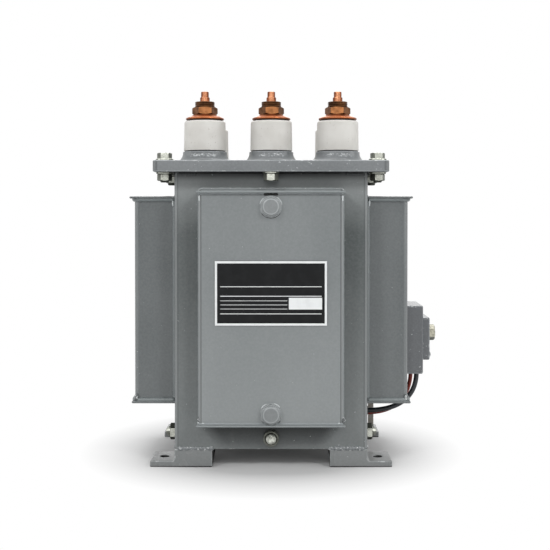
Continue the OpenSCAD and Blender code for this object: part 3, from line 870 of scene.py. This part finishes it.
@dataclass
class Studio:
    """Camera, white floor and backdrop, and soft light from above, in front and either side."""

    eye: Point = (11.9, -2236.1, 516.9)
    pitch_deg: float = 0.917
    yaw_deg: float = 0.112
    lens_mm: float = 67.68
    sensor_mm: float = 36.0
    rise_px: float = 50.0
    ambient: float = 0.17
    floor_tone: float = 0.66
    floor_bounce: float = 0.75
    # Metres: half the floor, how far it lies under the feet, and where it begins and ends to fade into white
    floor_half: float = 7.0
    floor_sink: float = 0.0005
    fade: Pair = (0.23, 0.41)
    fade_least: float = 0.03
    # Metres: where the lamps are aimed, and for each its middle, its side and the level it gives a white card
    aim: Point = (0.0, 0.0, 0.4)
    lamps: tuple[tuple[str, Point, float, float], ...] = (
        ("top_box", (0.0, 0.8, 3.2), 2.2, 0.70),
        ("front_left_box", (-2.5, -3.2, 3.1), 1.0, 0.25),
        ("front_right_box", (2.5, -3.2, 3.1), 1.0, 0.27),
        ("low_front_box", (-0.3, -4.6, 2.2), 1.6, 0.15),
        ("rear_box", (0.0, 4.0, 2.6), 2.0, 0.20),
        ("left_box", (-3.2, -0.5, 1.5), 2.0, 0.20),
        ("right_box", (3.2, -0.7, 1.5), 2.0, 0.24))

    def camera(self) -> None:
        """Set the camera at the photograph's viewpoint."""
        data = bpy.data.cameras.new("camera")
        data.sensor_fit = "HORIZONTAL"
        data.sensor_width = self.sensor_mm
        data.lens = self.lens_mm
        data.shift_y = -self.rise_px / IMAGE_PX
        data.clip_end = 50.0
        holder = link("camera", data)
        holder.location = Vector(self.eye) * MM
        holder.rotation_euler = (math.radians(90 - self.pitch_deg), 0, math.radians(self.yaw_deg))
        bpy.context.scene.camera = holder

    def seen(self, tree: Tree) -> Any:
        """Socket that is 1 for rays from the camera and off gloss or glass."""
        path = add(tree, "ShaderNodeLightPath").outputs
        first = {0: path["Is Camera Ray"], 1: path["Is Glossy Ray"]}
        both = add(tree, "ShaderNodeMath", first, operation="MAXIMUM").outputs[0]
        last = {0: both, 1: path["Is Transmission Ray"]}
        return add(tree, "ShaderNodeMath", last, operation="MAXIMUM").outputs[0]

    def world(self) -> None:
        """White backdrop to the eye, a plainer level of light on the object."""
        world = bpy.data.worlds.new("studio")
        tree = fresh_tree(world)
        feeds = [{"Color": (1, 1, 1, 1), "Strength": level} for level in (self.ambient, 1.0)]
        light, white = [add(tree, "ShaderNodeBackground", feed).outputs[0] for feed in feeds]
        both = add(tree, "ShaderNodeMixShader", {0: self.seen(tree), 1: light, 2: white})
        add(tree, "ShaderNodeOutputWorld", {0: both.outputs[0]})
        bpy.context.scene.world = world

    def floor(self) -> None:
        """White floor that keeps the shadow and runs out into the backdrop."""
        half = self.floor_half
        mesh = bpy.data.meshes.new("floor")
        corners = [(-half, -half), (half, -half), (half, half), (-half, half)]
        mesh.from_pydata([(x, y, -self.floor_sink) for x, y in corners], [], [(0, 1, 2, 3)])
        ground = bpy.data.materials.new("white_studio_floor")
        tree = fresh_tree(ground)
        pale, dull = [(tone, tone, tone, 1) for tone in (self.floor_tone, self.floor_bounce)]
        seen = self.seen(tree)
        tone = add(tree, "ShaderNodeMix", {0: seen, 6: dull, 7: pale}, data_type="RGBA").outputs[2]
        near = add(tree, "ShaderNodeBsdfDiffuse", {"Color": tone}).outputs[0]
        far = add(tree, "ShaderNodeEmission", {"Strength": 1.0}).outputs[0]
        where = add(tree, "ShaderNodeTexCoord").outputs["Object"]
        away = add(tree, "ShaderNodeVectorMath", {0: where}, operation="LENGTH").outputs["Value"]
        start, full = self.fade
        reach = {"Value": away, "From Min": start, "From Max": full, "To Min": self.fade_least}
        edge = add(tree, "ShaderNodeMapRange", reach).outputs[0]
        share = add(tree, "ShaderNodeMath", {0: edge, 1: seen}, operation="MULTIPLY").outputs[0]
        both = add(tree, "ShaderNodeMixShader", {0: share, 1: near, 2: far}).outputs[0]
        add(tree, "ShaderNodeOutputMaterial", {"Surface": both})
        mesh.materials.append(ground)
        link("floor", mesh)

    def light(self) -> None:
        """Hang the square soft boxes."""
        for name, place, size, level in self.lamps:
            data = bpy.data.lights.new(name, "AREA")
            data.shape = "SQUARE"
            data.size = size
            way = Vector(self.aim) - Vector(place)
            data.energy = level * math.pi ** 2 * way.length_squared
            holder = link(name, data)
            holder.location = place
            holder.rotation_euler = way.to_track_quat("-Z", "Y").to_euler()

    def build(self) -> None:
        """Set up the whole studio."""
        bpy.context.scene.view_settings.view_transform = "Standard"
        self.camera()
        self.world()
        self.floor()
        self.light()


@dataclass
class Leads:
    """Two stiff leads that drop from the terminal box and bend in to their glands."""

    start_z: float = 166.5
    end_x: float = 207.0
    drop: float = 0.68
    reach: float = 0.62
    points: int = 28

    def route(self, start_x: float, y: float, gland_z: float) -> Run:
        """Points of a lead's middle line.

        Args:
            start_x: Where it leaves the box.
            y: Its place front to back.
            gland_z: Height of its gland.

        Returns:
            The points, from the box to the gland.
        """
        x1, z1 = self.end_x, gland_z
        gap, fall = start_x - x1, self.start_z - z1
        bend_z, bend_x = self.start_z - self.drop * fall, x1 + self.reach * gap
        ctrl = [(start_x, self.start_z), (start_x, bend_z), (bend_x, z1), (x1, z1)]
        line = []
        for i in range(self.points):
            t = i / (self.points - 1)
            w = ((1 - t) ** 3, 3 * t * (1 - t) ** 2, 3 * t * t * (1 - t), t ** 3)
            x, z = [sum(a * c[axis] for a, c in zip(w, ctrl)) for axis in (0, 1)]
            line.append((x, y, z))
        return line

    def lead(self, node: str, place: Point, diameter: float, finish: Finish) -> None:
        """Args:
            node: Solid that the lead stands for.
            place: Where it leaves the box, its place front to back, and the height of its gland.
            diameter: Diameter over the sheath.
            finish: Finish of the sheath.
        """
        line = [Vector(p) * MM for p in self.route(*place)]
        data = bpy.data.curves.new(node, "CURVE")
        data.dimensions = "3D"
        data.bevel_depth = diameter / 2 * MM
        data.bevel_resolution = 6
        data.use_fill_caps = True
        spline = data.splines.new("POLY")
        spline.points.add(len(line) - 1)
        for point, spot in zip(spline.points, line):
            point.co = (*spot, 1.0)
        spline.use_smooth = True
        data.materials.append(finish.material())
        piece = settle(link(node + "_dressed", data), finish.slot, node)

    def build(self) -> None:
        """Make both leads and their glands."""
        self.lead("black_lead", (311.0, -22.0, 84.0), 10.5, BLACK_SHEATH)
        self.lead("red_lead", (302.0, 4.0, 74.0), 9.0, RED_SHEATH)
        dress("lead_glands", SEAL_RUBBER, 1.2)


@dataclass
class Tank:
    """Welded tank, its rim and its bolted lid."""

    rim_z: float = 589.0
    lid_z: float = 611.5
    # Rim welds: clear of the shell's corners, the end of a stitch, and how far below the rim they lie
    corner: float = 9.0
    stitch: float = 46.0
    stitch_drop: float = 3.8
    seal_drop: float = 0.6
    # Lid bolts: places, width across flats, shank, and heights or profiles from the lid or the rim
    bolt_x: float = 213.0
    bolt_y: float = 166.0
    edge_y: float = 198.0
    flats: float = 26.0
    shank: float = 8.0
    through: Pair = (-16.0, 6.0)
    up_into: Pair = (-4.0, 17.0)
    head: Pair = (5.2, 16.4)
    nut: Pair = (-17.0, -3.2)
    low_head: Pair = (-17.6, -3.2)
    head_washer: Profile = ((17.0, 0.0), (17.6, 0.8), (17.6, 3.8), (15.2, 5.6))
    nut_washer: Profile = ((16.0, -3.2), (16.6, -2.6), (16.6, 0.0))
    nut_end: Profile = ((6.6, -20.2), (8.4, -19.2), (9.0, -16.0))
    low_washer: Profile = ((15.6, -3.2), (16.6, -2.4), (16.6, 0.0))
    low_end: Profile = ((8.4, -22.4), (10.6, -21.2), (11.4, -17.0))
    # Where a bolt is in shade: this far under the rim towards the tank, and this far under it all round
    shade_drop: float = 3.0
    end_drop: float = 17.2

    def shell(self) -> None:
        """Paint the shell, the lid and what lies between."""
        dress("tank_shell", TANK_PAINT, 1.2, TANK_PAINT.worn())
        dress("lid", LID_PAINT, 1.8, LID_PAINT.worn())
        coat("tank_floor", TANK_PAINT)
        # Rim painted near black, as painted shadow under the lid
        coat("tank_rim", RIM_SHADOW_PAINT)
        coat("lid_gasket", SEAL_RUBBER)

    def seams(self, beads: BeadTool) -> None:
        """Stitch the rim to the shell at its corners with welds painted dark, and lay a dark line of rubber
        all round under it; both are painted shadow under the lid.
        """
        w, d, z = HALF_W - self.corner, HALF_D - self.corner, self.rim_z - self.stitch_drop
        w_end, d_end = HALF_W - self.stitch, HALF_D - self.stitch
        pairs = [(s, t) for s in BOTH for t in BOTH]
        runs = [[(t * w, s * HALF_D, z), (t * w_end, s * HALF_D, z)] for s, t in pairs]
        runs += [[(s * HALF_W, t * d, z), (s * HALF_W, t * d_end, z)] for s, t in pairs]
        beads.lay("rim_stitches", runs, 2.6, SHADE_PAINT, ripple=0.15, uneven=0.5, seed=2)
        z = self.rim_z - self.seal_drop
        runs = [[(-w, s * HALF_D, z), (w, s * HALF_D, z)] for s in BOTH]
        runs += [[(s * HALF_W, -d, z), (s * HALF_W, d, z)] for s in BOTH]
        beads.lay("rim_sealant", runs, 2.4, SEAL_RUBBER, ripple=0.05, uneven=0.3, seed=3)

    @staticmethod
    def unrubbed(spot: Vector, way: Vector) -> bool:
        """Whether a face of a bolt is turned from the front and not upwards, so that it gets painted shade.
        """
        return abs(way.y) < 0.75 and way.z < 0.7

    def shaded(self, spot: Vector, way: Vector) -> bool:
        """Whether a face of a bolt lies under the rim, and at its end or towards the tank."""
        if spot.z > self.rim_z - self.shade_drop:
            return False
        return spot.z < self.rim_z - self.end_drop or way.z < -0.6 or spot.x * way.x < -0.5 * abs(spot.x)

    def through_bolt(self) -> Sketch:
        """Bolt through the lid and the rim, with its head above and its nut below."""
        lid, rim, bolt = self.lid_z, self.rim_z, Sketch()
        bolt.turn([(r, lid + h) for r, h in self.head_washer])
        bolt.hexagon(self.flats, *(lid + h for h in self.head), lower_chamfer=False)
        start, end = self.through
        bolt.turn([(self.shank, rim + start), (self.shank, lid + end)], sides=Sketch.SLIM)
        bolt.turn([(r, rim + h) for r, h in self.nut_washer])
        bolt.hexagon(self.flats, *(rim + h for h in self.nut))
        bolt.turn([(r, rim + h) for r, h in self.nut_end], sides=Sketch.SLIM)
        return bolt

    def low_bolt(self, ended: bool) -> Sketch:
        """Bolt from below into the lid, with or without a stud's end under its head."""
        rim, bolt = self.rim_z, Sketch()
        bolt.turn([(r, rim + h) for r, h in self.low_washer])
        bolt.hexagon(self.flats, *(rim + h for h in self.low_head))
        bolt.turn([(self.shank, rim + h) for h in self.up_into], sides=Sketch.SLIM)
        if ended:
            bolt.turn([(r, rim + h) for r, h in self.low_end], sides=Sketch.SLIM)
        return bolt

    def bolts(self, fasteners: FastenerTool) -> None:
        """Bolt the lid down, with painted shade on the bolts' sides, and deeper painted shade underneath and
        towards the tank.
        """
        corners = [(x * self.bolt_x, y * self.bolt_y, 0.0) for x in BOTH for y in BOTH]
        sides = [(s * self.bolt_x, 0.0, 0.0) for s in BOTH]
        middles = [(0.0, s * self.edge_y, 0.0) for s in BOTH]
        for name, bolt, spots, turn_deg, seed in (
                ("lid_corner_bolts", self.through_bolt(), corners, 9.0, 3),
                ("lid_side_bolts", self.low_bolt(True), sides, 3.0, 8),
                ("lid_middle_bolts", self.low_bolt(False), middles, 3.0, 8)):
            piece = fasteners.place(name, bolt, spots, ZINC, turn_deg, seed)
            tint(piece, SHADED_ZINC, self.unrubbed)
            tint(piece, DEEP_SHADED_ZINC, self.shaded)

    def build(self, beads: BeadTool, fasteners: FastenerTool) -> None:
        """Make the tank with its seams and bolts."""
        self.shell()
        self.seams(beads)
        self.bolts(fasteners)


@dataclass
class CoolingPocket:
    """Sheet folded out from one wall, closed by a cap above and below."""

    wall: Wall
    width: float
    depth: float
    low: float
    high: float
    finish: Enamel
    # Painted glint at an upper corner: past the sheet's side and out from the wall
    dab: Pair
    fold: float = 6.0
    # Cap: ends cut back, and nose rolled out below and above
    trim: float = 0.0
    reach: Pair = (0.0, 0.0)
    cap: float = 4.5
    lip: float = 8.0
    # Radii of the lap and side welds, and how far the toe of a cap's weld lies from it
    lap: float = 2.2
    seam: float = 4.6
    toe: float = 5.0
    # How far inside the caps' faces and the sheet's edges the fillets, laps and painted shadow lines lie
    fillet_in: float = 0.5
    lap_in: float = 1.0
    drip_in: float = 0.6
    # Ends of a weld blob and of a painted glint at a lower corner: past the side, out from the nose, up from
    # the edge
    blob: tuple[Point, Point] = ((0.5, -4.0, -1.0), (0.5, -5.0, 14.0))
    low_dab: tuple[Point, Point] = ((-6.0, 1.5, 3.4), (-11.0, 1.5, 2.0))
    # Ends of the painted glint at an upper corner, below the edge
    dab_drops: Pair = (4.0, 16.0)
    # Whether to lay the painted shadow line under the upper cap and the painted glints at the lower corners
    grimed: bool = True

    def at(self, along: float, out: float, z: float) -> Point:
        """Point given along the wall, out from it and up."""
        (ax, ay), (ox, oy) = self.wall.value
        base = HALF_W if ox else HALF_D
        return along * ax + (base + out) * ox, along * ay + (base + out) * oy, z

    def outline(self, z: float) -> Run:
        """Line round the outside of the folded sheet."""
        half, out, r = self.width / 2, self.depth, self.fold
        turns = [math.radians(a) for a in range(0, 91, 9)]
        left = [self.at(-half + r - r * math.cos(a), out - r + r * math.sin(a), z) for a in turns]
        right = [self.at(half - r + r * math.sin(a), out - r + r * math.cos(a), z) for a in turns]
        return [self.at(-half, 0, z), *left, *right, self.at(half, 0, z)]

    def trimmed(self, spot: Vector) -> Vector:
        """Where a point of a cap goes when its ends are cut back and its nose is rolled out."""
        way, out = (Vector((*pair, 0)) for pair in self.wall.value)
        along = spot.dot(way)
        past = max(0.0, abs(along) - self.width / 2 * MM)
        nose = spot.dot(out) > (abs(Vector((HALF_W, HALF_D, 0)).dot(out)) + self.depth) * MM
        step = -math.copysign(past * self.trim / self.lip, along)
        rolled = self.reach[spot.z > (self.low + self.high) / 2 * MM] if nose else 0.0
        return spot + way * step + out * rolled * MM

    def sheet(self) -> None:
        """Bend the sheet round its two folds."""
        node = self.wall.label + "_pocket_sheet"
        skin = Sketch()
        skin.loft([self.outline(z) for z in (self.low, self.high)])
        settle(skin.make(node + "_dressed", self.finish, 0.8), self.finish.slot, node)

    def toes(self) -> list[Run]:
        """Lines along the toes of the welds over the upper cap and under the lower one."""
        half, lip = self.width / 2, self.width / 2 + self.lip - self.trim
        # Along the wall, and up from the cap: down to its lip at either end
        steps = ((-lip + 1, -1.5), (-half - 1, self.toe * 0.7), (-half + 4, self.toe),
                 (half - 4, self.toe), (half + 1, self.toe * 0.7), (lip - 1, -1.5))
        caps = ((self.high + self.cap, 1), (self.low - self.cap, -1))
        return [[self.at(along, 0, z + s * up) for along, up in steps] for z, s in caps]

    def mark(self, side: int, ends: Sequence[Point]) -> Run:
        """Short line at the lower corner of one side, -1 or 1."""
        half = self.width / 2
        return [self.at(side * (half + past), self.depth + out, self.low + up) for past, out, up in ends]

    def corners(self, beads: BeadTool) -> None:
        """Leave weld blobs at the lower corners, and pale dabs of paint as painted glints at the corners."""
        half, label = self.width / 2, self.wall.label
        blobs, dabs = [], []
        for side in BOTH:
            blobs.append(self.mark(side, self.blob))
            spot, out = side * (half + self.dab[0]), self.dab[1]
            dabs.append([self.at(spot, out, self.high - drop) for drop in self.dab_drops])
            if self.grimed:
                dabs.append(self.mark(side, self.low_dab))
        beads.lay(label + "_pocket_corner_welds", blobs, 4.8, BLOB_PAINT, ripple=0.3, uneven=0.8, seed=7)
        beads.lay(label + "_pocket_corner_dabs", dabs, 1.7, GLINT_PAINT, ripple=0.05, uneven=0.5, seed=15)

    def seams(self, beads: BeadTool) -> None:
        """Weld the sheet to the wall and the caps to the sheet."""
        half, label = self.width / 2, self.wall.label + "_pocket_"
        # Fillets, side welds and laps are painted paler than the sheet, as painted light
        pale, plain = self.finish.paler("_on_fillet", 1.18), self.finish.paler("_on_lap", 1.25)
        sides = [[self.at(s * half, 0, z) for z in (self.low, self.high)] for s in BOTH]
        beads.lay(label + "side_seams", sides, self.seam, pale, ripple=0.03, uneven=0.08, seed=4)
        inset = self.cap - self.fillet_in
        fillets = [[self.at(s * half, 0, z) for s in BOTH] for z in (self.high + inset, self.low - inset)]
        beads.lay(label + "cap_seams", fillets, 5.2, pale, ripple=0.03, uneven=0.1, seed=5)
        # Toe lines in pale paint, as a painted highlight
        beads.lay(label + "toe_lines", self.toes(), 1.8, TOE_HIGHLIGHT_PAINT, ripple=0.10, uneven=0.4, seed=13)
        laps = [self.outline(self.low + self.lap_in), self.outline(self.high - self.lap_in)]
        beads.lay(label + "lap_seams", laps, self.lap, plain, ripple=0.02, uneven=0.06, seed=6)
        # Dark line under the upper cap's lap, as painted shadow
        if self.grimed:
            dark_line = [self.outline(self.high - self.lap - self.drip_in)]
            beads.lay(label + "drip_lines", dark_line, 1.1, SHADE_PAINT, ripple=0.05, uneven=0.3, seed=14)

    def build(self, beads: BeadTool) -> None:
        """Make the pocket with its caps and seams."""
        flat = self.finish.paler("_on_cap", 1.0)
        self.sheet()
        dress(self.wall.label + "_pocket_caps", flat, 2.0, flat.paler("_rim", 1.12), self.trimmed)
        self.seams(beads)
        self.corners(beads)


@dataclass
class Feet:
    """Four feet under the tank with their rough welds."""

    inner_x: float = 117.0
    height: float = 36.0
    depth: float = 84.0
    hole_x: float = 216.75
    hole_y: float = 136.0
    bore: float = 10.0
    # Welds: height, how far their middle lies inside the tank's wall, and their ends from its corners
    seam_z: float = 37.5
    sink: float = 2.6
    front_end: float = 4.0
    side_end: float = 8.0
    # How far the inner side is wound, give or take a slack, and the end beyond end_x drawn out
    slack: float = 2.0
    lean: float = 9.5
    splay: float = 4.6
    end_x: float = 232.0
    spread: float = 1.8

    def leaned(self, spot: Vector) -> Vector:
        """Where a point goes as the inner side is wound in at the back and the end hammered out."""
        step = 0.0
        if abs(spot.x) < (self.inner_x + self.slack) * MM and abs(spot.y) < (HALF_D - self.slack) * MM:
            step = self.splay * MM - self.lean * spot.z / self.height
        elif abs(spot.x) > self.end_x * MM:
            step = self.spread * MM
        return spot + Vector((math.copysign(step, step * spot.x), 0, 0))

    def foot(self, name: str, xs: int, ys: int) -> None:
        """Paint one foot, with painted shade in its bolt hole, and deep painted shadow on its inner side and
        along its lower edge.

        Args:
            name: Solid to stand for.
            xs: Side that it is on, -1 for the left.
            ys: End that it is at, -1 for the front.
        """
        foot = dress(name, FOOT_PAINT, 2.2, FOOT_PAINT.worn(1.1), self.leaned)
        axis = Vector((xs * self.hole_x, ys * self.hole_y))
        # Painted shade on the bore's wall, and deep painted shadow on the inner side and the lower edge
        tint(foot, BORE_SHADE, lambda spot, way: (spot.xy - axis).length < self.bore and abs(way.z) < 0.6)
        tint(foot, DEEP_SHADOW_PAINT, lambda spot, way: xs * way.x < -0.8 or way.z < -0.25 and spot.z < 3.0)

    def build(self, beads: BeadTool) -> None:
        """Paint the feet and weld them to the tank."""
        runs, z = [], self.seam_z
        for y_name, ys in (("front", -1), ("rear", 1)):
            for x_name, xs in (("left", -1), ("right", 1)):
                self.foot(f"{y_name}_{x_name}_foot", xs, ys)
                deep, side = ys * (HALF_D - self.sink), xs * (HALF_W - self.sink)
                ends = (self.inner_x - self.splay, HALF_W - self.front_end)
                runs.append([(xs * end, deep, z) for end in ends])
                runs.append([(side, ys * (HALF_D - end), z) for end in (self.side_end, self.depth)])
        beads.lay("foot_seams", runs, 5.0, SEAM_PAINT, ripple=0.2, uneven=0.35, seed=9)


@dataclass
class BushingRow:
    """Three bushings in a row: turret, porcelain, dished washer, nut, collar and stud."""

    label: str

    def build(self) -> None:
        """Finish each part of the row."""
        dress(f"{self.label}_turrets", TURRET_PAINT, 1.4, TURRET_PAINT.worn())
        for place in ("left", "middle", "right"):
            dress(f"{self.label}_porcelain_{place}", FIRED, 0.9)
        washers = dress(f"{self.label}_washers", WASHER_COPPER, 0.5)
        # Painted shade on the washers' undersides and edges, the nuts' faces turned from the front, and the
        # studs' sides
        tint(washers, SHADED_COPPER, lambda spot, way: way.z < 0.12)
        nuts = dress(f"{self.label}_nuts", BRASS, 0.5)
        tint(nuts, SHADED_BRASS, lambda spot, way: abs(way.y) < 0.8)
        dress(f"{self.label}_collars", DARK_BRASS, 0.25)
        studs = dress(f"{self.label}_studs", COPPER, 0.4)
        tint(studs, SHADED_COPPER, lambda spot, way: abs(way.x) > 0.44)


@dataclass
class TerminalBox:
    """Box on the right pocket with its cover, cover bolt and two small rivets."""

    wall_x: float = 277.5
    cover_x: float = 336.5
    half_d: float = 53.0
    low: float = 166.5
    high: float = 311.5
    # Rivets: place, radius, height of the dome and how far it is sunk
    rivet_y: float = 26.0
    rivet_z: float = 205.0
    rivet_r: float = 6.5
    dome: float = 4.2
    rivet_sink: float = 0.6

    def build(self, beads: BeadTool) -> None:
        """Make the box and weld it to the pocket."""
        # Top faces are glossier and painted paler, as painted light from above
        lit_top = BOX_PAINT.paler("_rained_smooth", 1.2, rough=0.14, peel=0.03)
        for node, edge in (("terminal_box", 3.2), ("terminal_box_cover", 2.4)):
            shell = dress(node, BOX_PAINT, edge, BOX_PAINT.worn())
            tint(shell, lit_top, lambda spot, way: way.z > 0.8)
        bolt = dress("terminal_box_bolt", CREAM_ZINC, 0.8)
        # Painted shade under the bolt
        tint(bolt, SHADED_ZINC, lambda spot, way: way.z < -0.5 and abs(way.x) < 0.6)
        x, d, a, b = self.wall_x, self.half_d, self.low, self.high
        runs = [[(x, s * d, a), (x, s * d, b)] for s in BOTH] + [[(x, -d, z), (x, d, z)] for z in (a, b)]
        beads.lay("terminal_box_seam", runs, 2.6, SEAM_PAINT, ripple=0.25, uneven=0.5, seed=11)
        turns = [math.radians(a) for a in range(0, 90, 12)]
        dome = [(self.rivet_r * math.cos(a), self.dome * math.sin(a)) for a in turns]
        lean = Vector((0, 0, 1)).rotation_difference(Vector((1, 0, 0))).to_matrix().to_4x4()
        rivets = Sketch()
        for s in BOTH:
            place = Matrix.Translation((self.cover_x, s * self.rivet_y, self.rivet_z))
            rivets.turn([(self.rivet_r, -self.rivet_sink), *dome], place @ lean)
        settle(rivets.make("terminal_box_rivets", BOX_PAINT), Slot.PAINT)


@dataclass
class RatingPlate:
    """Black plate with a white frame, rules and one blank field."""

    half_w: float = 110.0
    low: float = 287.5
    high: float = 414.5
    face_y: float = -219.5
    # Print: its thickness, how far it is sunk, the frame's width and how far it stays off the edge
    film: float = 0.2
    sunk: float = 0.1
    line: float = 4.4
    edge: float = 0.4
    # Rules: heights, half thickness and ends of the long ones and the short ones, and the blank field
    long_rules: Point = (364.0, 345.5, 311.0)
    long_half: float = 0.7
    short_rules: Point = (336.5, 328.5, 320.5)
    short_half: float = 0.45
    rule_x: float = 99.0
    short_x: float = 32.0
    field: tuple[float, float, float, float] = (35.0, 100.0, 319.5, 342.5)

    def build(self) -> None:
        """Make the plate and its print."""
        dress("rating_plate", PLATE_ENAMEL, 0.4)
        w, a, b = self.half_w - self.edge, self.low + self.edge, self.high - self.edge
        line, x = self.line, self.rule_x
        strips = [(-w, w, a, a + line), (-w, w, b - line, b), (-w, -w + line, a + line, b - line),
                  (w - line, w, a + line, b - line)]
        strips += [(-x, x, z - self.long_half, z + self.long_half) for z in self.long_rules]
        strips += [(-x, self.short_x, z - self.short_half, z + self.short_half) for z in self.short_rules]
        ink = Sketch()
        for x0, x1, z0, z1 in (*strips, self.field):
            ink.block((x0, self.face_y - self.film, z0), (x1, self.face_y + self.sunk, z1))
        settle(ink.make("rating_plate_print", PLATE_PRINT), Slot.PLATE)


@dataclass
class Fittings:
    """Earth bolts, earth bar, pocket plugs, drain and rating plate."""

    stud_x: float = 206.0
    panel_y: float = -218.0
    # Plugs: heights, radius, and for each painted glint its plug and the angles that it spans
    plug_z: Pair = (114.0, 520.5)
    plug_r: float = 21.8
    pools: tuple[tuple[int, int, int], ...] = ((1, 8, 58), (1, 128, 172), (0, 36, 76), (0, 112, 152))
    # Gap between the upper plug and its cap: half its length, its height and how far the painted shadow in it
    # stands out
    gap_half: float = 15.0
    gap_z: float = 544.6
    gap_out: float = 0.8
    # Welds of the earth bar's two arms
    arm_y: Pair = (163.0, 169.0)
    arm_z: Pair = (99.7, 237.2)
    arm_run: float = 20.0

    def arc(self, plug: int, start_deg: int, end_deg: int) -> Run:
        """Line along the rim of a plug, from one angle to another."""
        z, r = self.plug_z[plug], self.plug_r
        turns = [math.radians(a) for a in range(start_deg, end_deg + 1, 10)]
        return [(r * math.cos(a), self.panel_y, z + r * math.sin(a)) for a in turns]

    def grime(self, beads: BeadTool) -> None:
        """Paint shadow in the gap over the upper plug and under both, and painted glints over them."""
        gap = [[(s * self.gap_half, self.panel_y - self.gap_out, self.gap_z) for s in BOTH]]
        beads.lay("plug_gap_grime", gap, 2.4, DEEP_SHADOW_PAINT, ripple=0.05, uneven=0.2, seed=16)
        rings = [self.arc(plug, 215, 325) for plug in (0, 1)]
        beads.lay("plug_corner_grime", rings, 1.5, SHADE_PAINT, ripple=0.05, uneven=0.4, seed=17)
        pools = [self.arc(*glint_span) for glint_span in self.pools]
        beads.lay("plug_paint_pools", pools, 1.1, GLINT_PAINT, ripple=0.05, uneven=0.5, seed=18)

    def build(self, beads: BeadTool) -> None:
        """Make the fittings."""
        bolts = dress("earth_bolts", ZINC, 0.6)
        # Painted shade on the stud ends below their tops, and deeper painted shade on the nut faces turned
        # from the front
        tint(bolts, SHADED_ZINC, lambda spot, way: abs(spot.x) > self.stud_x and way.z < 0.2)
        tint(bolts, DEEP_SHADED_ZINC, lambda spot, way: abs(spot.x) < self.stud_x and abs(way.y) < 0.75)
        # Earth bar in its lightened tone, as painted light
        dress("earth_bar", BAR_PAINT, 1.0, BAR_PAINT.worn())
        # The plugs' rounded edges are rubbed pale and carry a painted highlight
        dress("front_pocket_plugs", PLUG_PAINT, 1.2, PLUG_PAINT.paler("_rubbed_edge", 1.24))
        # The collar is all in the zinc's painted shade
        dress("drain_collar", SHADED_ZINC, 1.0)
        dress("drain_plug", CAST_ZINC, 1.4)
        coat("bushing_seals", SEAL_RUBBER)
        self.grime(beads)
        arms = [[(HALF_W, y, z), (HALF_W, y, z + self.arm_run)] for y in self.arm_y for z in self.arm_z]
        beads.lay("earth_bar_welds", arms, 2.6, SEAM_PAINT, ripple=0.3, uneven=0.5, seed=12)
        RatingPlate().build()


def main() -> None:
    """Build the studio and every sub-assembly."""
    logging.basicConfig(level=logging.INFO, format="%(message)s")
    Studio().build()
    Leads().build()
    beads, fasteners = BeadTool(), FastenerTool()
    Tank().build(beads, fasteners)
    for wall in (Wall.FRONT, Wall.REAR):
        CoolingPocket(wall, 283.0, 40.0, 93.5, 547.0, PANEL_PAINT, (-1.4, 38.6), trim=3.4).build(beads)
    for wall in (Wall.RIGHT, Wall.LEFT):
        CoolingPocket(wall, 266.0, 86.0, 125.0, 537.0, SIDE_PAINT, (6.2, 6.2), 13.0, reach=(-1.6, 2.2),
                      lap=5.8, seam=8.5, grimed=False).build(beads)
    Feet().build(beads)
    BushingRow("front").build()
    BushingRow("rear").build()
    TerminalBox().build(beads)
    Fittings().build(beads)


if __name__ == "__main__":
    main()
